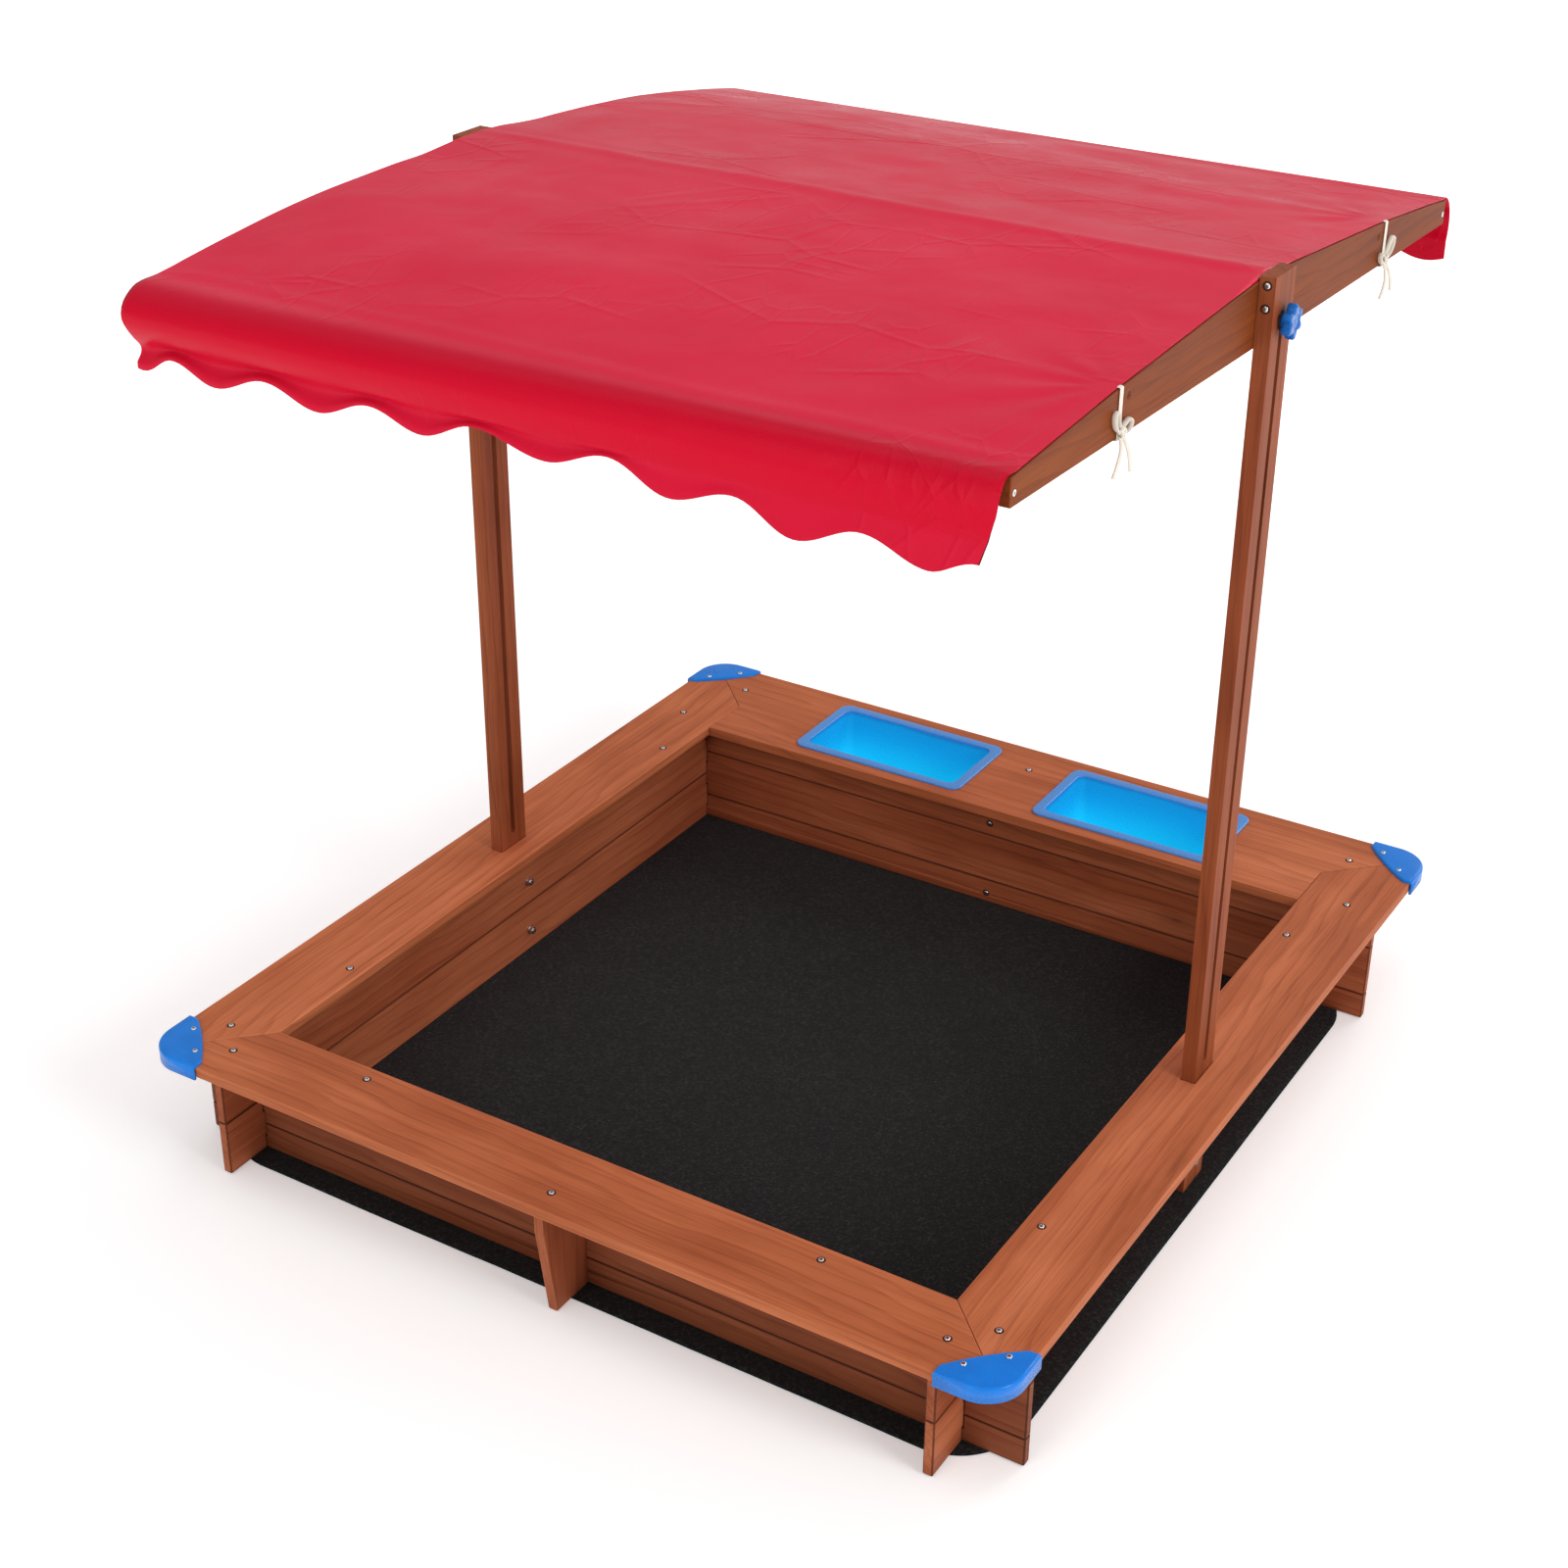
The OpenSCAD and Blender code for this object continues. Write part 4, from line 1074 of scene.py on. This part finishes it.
canopyLook = {
    "half": 509.0,          # mm, half the sheet's width
    "thick": 1.2,
    "cellsX": 150,
    "cellsY": 228,
    "hemRows": 0.055,       # share of the rows in each valance below the stitched line
    "drop": 65.0,           # lowest point of the lobes below the boards' lower edge
    # lobes and crests of the front edge from left to right: (x, height)
    "frontLobes": [(-509, -55), (-501, -56), (-456, -38), (-396, -56), (-329, -37), (-257, -55), (-191, -36),
                   (-123, -52), (-60, -32), (29, -48), (98, -30), (174, -54), (240, -38), (313, -63),
                   (378, -43), (453, -61), (509, -46)],
    "backLobe": (484.0, 137.0, -54.0, 19.0),    # one lobe's place, their spacing, lowest point, height
    "backWide": 3.0,
    # the front roll from the stitched line up to the fold, on the left and right: (distance past the
    # middle, height over the boards' lower edge)
    "leftRoll": [(603, -24), (612, -12), (618, 2), (615, 16), (604, 27), (588, 34)],
    "rightRoll": [(600, -24), (599, -10), (597, 4), (593, 16), (587, 26), (578, 31.5)],
    "backRoll": [(601, -24), (603, -10), (602, 4), (598, 16), (590, 26), (579, 31.5)],
    "lobeLean": (0.06, 0.30, 0.05),     # lean of the lobes at the left front, right front and back
    "billow": 12.0,
    "sideHem": 3,           # columns of each side edge turned down onto the board
    "sideHemWidth": 22.0,   # what both turned edges add to the flat width
}


def smoothStep(t):
    t = max(0.0, min(1.0, t))
    return t * t * (3 - 2 * t)


def frontEdgeAt(x):
    # the lobes as one flowing line through their lowest and highest points
    stops = canopyLook["frontLobes"]
    for (x0, z0), (x1, z1) in zip(stops, stops[1:]):
        if x <= x1:
            return z0 + (z1 - z0) * (1 - math.cos(math.pi * max(0.0, x - x0) / (x1 - x0))) / 2
    return stops[-1][1]


def backEdgeAt(x):
    place, spacing, lowest, high = canopyLook["backLobe"]
    return lowest + high * (1 - math.cos(2 * math.pi * (x - place) / spacing)) / 2


def sheetProfile(x):
    # the sheet's line over the roof at x, from the front stitched line to the back one: points (y, z)
    look = canopyLook
    across = smoothStep((x + look["half"]) / (2 * look["half"]))
    front = [(-(a[0] + (b[0] - a[0]) * across), a[1] + (b[1] - a[1]) * across)
             for a, b in zip(look["leftRoll"], look["rightRoll"])]
    back = [(y, z) for y, z in reversed(look["backRoll"])]
    edgeLift = look["billow"] * (1 - across) ** 1.5
    crown = []
    for y in range(-555, 556, 37):
        swell = math.sin(math.pi * min(1.0, abs(y) / 600)) ** 0.8
        ridge = 2.5 + 3.5 * (1 - across)
        middle = 4.0 * math.sin(math.pi * across)
        crown.append((y, boardTop(y) + 1.0 + edgeLift * swell + ridge * smoothStep(1 - abs(y) / 120)
                      + middle * swell))
    return front, crown, back


def pathAt(points, lengths, distance):
    for (a, b), (start, stop) in zip(zip(points, points[1:]), zip(lengths, lengths[1:])):
        if distance <= stop or b is points[-1]:
            t = (distance - start) / (stop - start)
            return a.lerp(b, t), (b - a).normalized()


def makeCanopy():
    look = canopyLook
    columns, rows = look["cellsX"], look["cellsY"]
    bm = bmesh.new()
    bmesh.ops.create_grid(bm, x_segments=columns, y_segments=rows, size=0.5, calc_uvs=True)
    uvLayer = bm.loops.layers.uv.verify()
    lines = {}
    bm.verts.ensure_lookup_table()
    hem = look["hemRows"]
    sideHem = look["sideHem"] / columns
    leanLeft, leanRight, leanBack = look["lobeLean"]
    flatLength = 0.0
    for vert in bm.verts:
        u, v = vert.co.x + 0.5, vert.co.y + 0.5
        turned = max(0.0, 1 - min(u, 1 - u) / sideHem)
        x = max(-1.0, min(1.0, (2 * u - 1) / (1 - 2 * sideHem))) * look["half"]
        key = round(u * columns)
        if key not in lines:
            front, crown, back = sheetProfile(x)
            raw = [Vector((y, z, 0)) for y, z in front + crown + back]
            path = smoothPath(raw, 4)
            lengths = [0.0]
            for a, b in zip(path, path[1:]):
                lengths.append(lengths[-1] + (b - a).length)
            lines[key] = (path, lengths)
            flatLength = max(flatLength, lengths[-1])
        path, lengths = lines[key]
        across = smoothStep(u)
        stitch = path[0].y
        if v < hem or v > 1 - hem:
            t = (hem - v) / hem if v < hem else (v - 1 + hem) / hem
            seam = path[0] if v < hem else path[-1]
            edge = frontEdgeAt(x) if v < hem else backEdgeAt(x)
            z = stitch + (edge - stitch) * t
            lean = leanLeft + (leanRight - leanLeft) * across if v < hem else leanBack
            tuck = 8.0 * (1 - across) * math.sin(math.pi * min(1.0, t * 1.3)) if v < hem else 1.0
            y = abs(seam.x) + (stitch - z) * lean - tuck
            point = Vector((x, math.copysign(y, seam.x), z))
        else:
            distance = (v - hem) / (1 - 2 * hem) * lengths[-1]
            spot, along = pathAt(path, lengths, distance)
            point = Vector((x, spot.x, spot.y))
        point.z += wrinkleAt(point.x, point.y, v)
        slant = 14.0 * max(0.0, -point.z) / look["drop"] if x > 0 else 5.0 * max(0.0, -point.z) / look["drop"]
        near = smoothStep((abs(x) - 440) / 69)
        point.x -= math.copysign(slant * near, x) if v < 0.5 else 0.0
        point.x += math.copysign(look["backWide"] * near * smoothStep((v - 0.85) / 0.1), x)
        if turned > 0 and abs(point.y) < roofLook["end"]:
            gap = max(0.0, point.z - boardTop(point.y) - 1.2)
            point.z -= gap * turned * smoothStep((roofLook["end"] - abs(point.y)) / 12)
            point.x += math.copysign(1.2 * math.sin(math.pi * turned / 2), x)
        vert.co = onRoof(point)
        for loop in vert.link_loops:
            loop[uvLayer].uv = (u * 2 * look["half"] * mm, v * (flatLength + 2 * look["drop"]) * mm)
    bmesh.ops.recalc_face_normals(bm, faces=bm.faces)
    bm.faces.ensure_lookup_table()
    highest = max(bm.faces, key=lambda f: f.calc_center_median().z)
    if highest.normal.z < 0:
        bmesh.ops.reverse_faces(bm, faces=bm.faces)
    area = sum(face.calc_area() for face in bm.faces)
    piece = addPiece("canopy_sheet", bm, bodyOfNode["canopy"],
                     [canopyMaterial((flatLength + 2 * look["drop"]) * mm), canopyEdgeMaterial()], ["canopy"], 60)
    body = piece.modifiers.new("thickness", "SOLIDIFY")
    body.thickness = look["thick"] * mm
    body.offset = 0
    body.material_offset_rim = 1


def wrinkleAt(x, y, v):
    # creases in the sheet: soft waves, a fold line along each rail and pulls towards the right ties
    top = smoothStep((560 - abs(y)) / 60)
    spot = Vector((x * 0.006, y * 0.012, 0.0))
    waves = 1.6 * noise.noise(spot + Vector((0, 0, 3.1)))
    fineSpot = Vector((x * 0.016 + 0.4 * waves, y * 0.020, 7.7))
    waves += 0.8 * noise.noise(fineSpot)
    folds = 0.0
    for at, high, wide in ((-338, 0.3, 20), (0, 2.0, 12), (338, 0.5, 18), (-548, 1.2, 9)):
        wander = 14 * noise.noise(Vector((x * 0.004, at * 0.1, 1.0)))
        folds += high * math.exp(-((y - at - wander) / wide) ** 2)
    pull = 0.0
    for tieY in (-358, 358):
        away = math.hypot(x - 505, y - tieY)
        angle = math.atan2(y - tieY, 505 - x)
        pull += 1.3 * math.cos(angle * 11) * math.exp(-away / 130)
    edge = smoothStep((canopyLook["half"] - abs(x)) / 40)
    return (waves + pull * edge) * top * (0.35 + 0.65 * edge) + folds * (0.4 + 0.6 * edge)


makeCanopy()
print("canopy ready")


# studio

studioLook = {
    "floor": 14.0,
    "backdrop": 1.0,        # what the camera sees past the floor
    "world": 0.55,          # what the surroundings light with
    "lights": [
        # name, place, aim, size, power
        ("keyLight", (4.8, -1.0, 2.9), (0.0, 0.0, 0.4), 2.0, 115.0),
        ("topLight", (-0.4, -0.6, 4.6), (0.0, 0.0, 0.6), 3.5, 34.0),
        ("frontLight", (-0.4, -4.6, 2.6), (0.0, 0.0, 0.6), 2.5, 44.0),
        ("backLight", (1.2, 4.0, 2.8), (0.0, 0.4, 0.3), 2.5, 62.0),
    ],
}


def makeStudio():
    look = studioLook
    bm = bmesh.new()
    bmesh.ops.create_grid(bm, x_segments=1, y_segments=1, size=look["floor"])
    bmesh.ops.translate(bm, vec=(0, 0, -0.0004), verts=bm.verts)
    mesh = bpy.data.meshes.new("floor")
    bm.to_mesh(mesh)
    bm.free()
    material, tree, shader, place = newMaterial("paleFloor", {"Roughness": 0.8, "Specular IOR Level": 0.1})
    cloud = noiseOn(tree, place.outputs["Object"], 0.8, 2.0).outputs[0]
    tree.links.new(ramp(tree, cloud, [(0.3, grey(0.86)), (0.7, grey(0.88))], True), shader.inputs["Base Color"])
    shader.inputs["Emission Color"].default_value = (1, 1, 1, 1)
    # the floor glows more away from the box, so it runs into the backdrop
    far = addNode(tree, "VectorMath", {0: place.outputs["Object"]}, operation="LENGTH").outputs["Value"]
    glow = addNode(tree, "MapRange", {"Value": far, "From Min": 1.4, "From Max": 4.5, "To Min": 0.28, "To Max": 0.9})
    tree.links.new(glow.outputs[0], shader.inputs["Emission Strength"])
    mesh.materials.append(material)
    floor = bpy.data.objects.new("floor", mesh)
    bpy.context.scene.collection.objects.link(floor)
    world = bpy.data.worlds.new("studio")
    world.use_nodes = True
    background = world.node_tree.nodes["Background"]
    background.inputs["Color"].default_value = (1, 1, 1, 1)
    seen = addNode(world.node_tree, "LightPath").outputs["Is Camera Ray"]
    strength = addNode(world.node_tree, "MapRange", {"Value": seen, "To Min": look["world"],
                                                     "To Max": look["backdrop"]}).outputs[0]
    world.node_tree.links.new(strength, background.inputs["Strength"])
    bpy.context.scene.world = world
    for name, location, aim, size, power in look["lights"]:
        data = bpy.data.lights.new(name, "AREA")
        data.size = size
        data.energy = power
        lamp = bpy.data.objects.new(name, data)
        bpy.context.scene.collection.objects.link(lamp)
        lamp.location = location
        lamp.rotation_mode = "QUATERNION"
        lamp.rotation_quaternion = (Vector(aim) - Vector(location)).to_track_quat("-Z", "Y")
    bpy.context.scene.view_settings.view_transform = "Standard"


makeStudio()
print("studio ready")
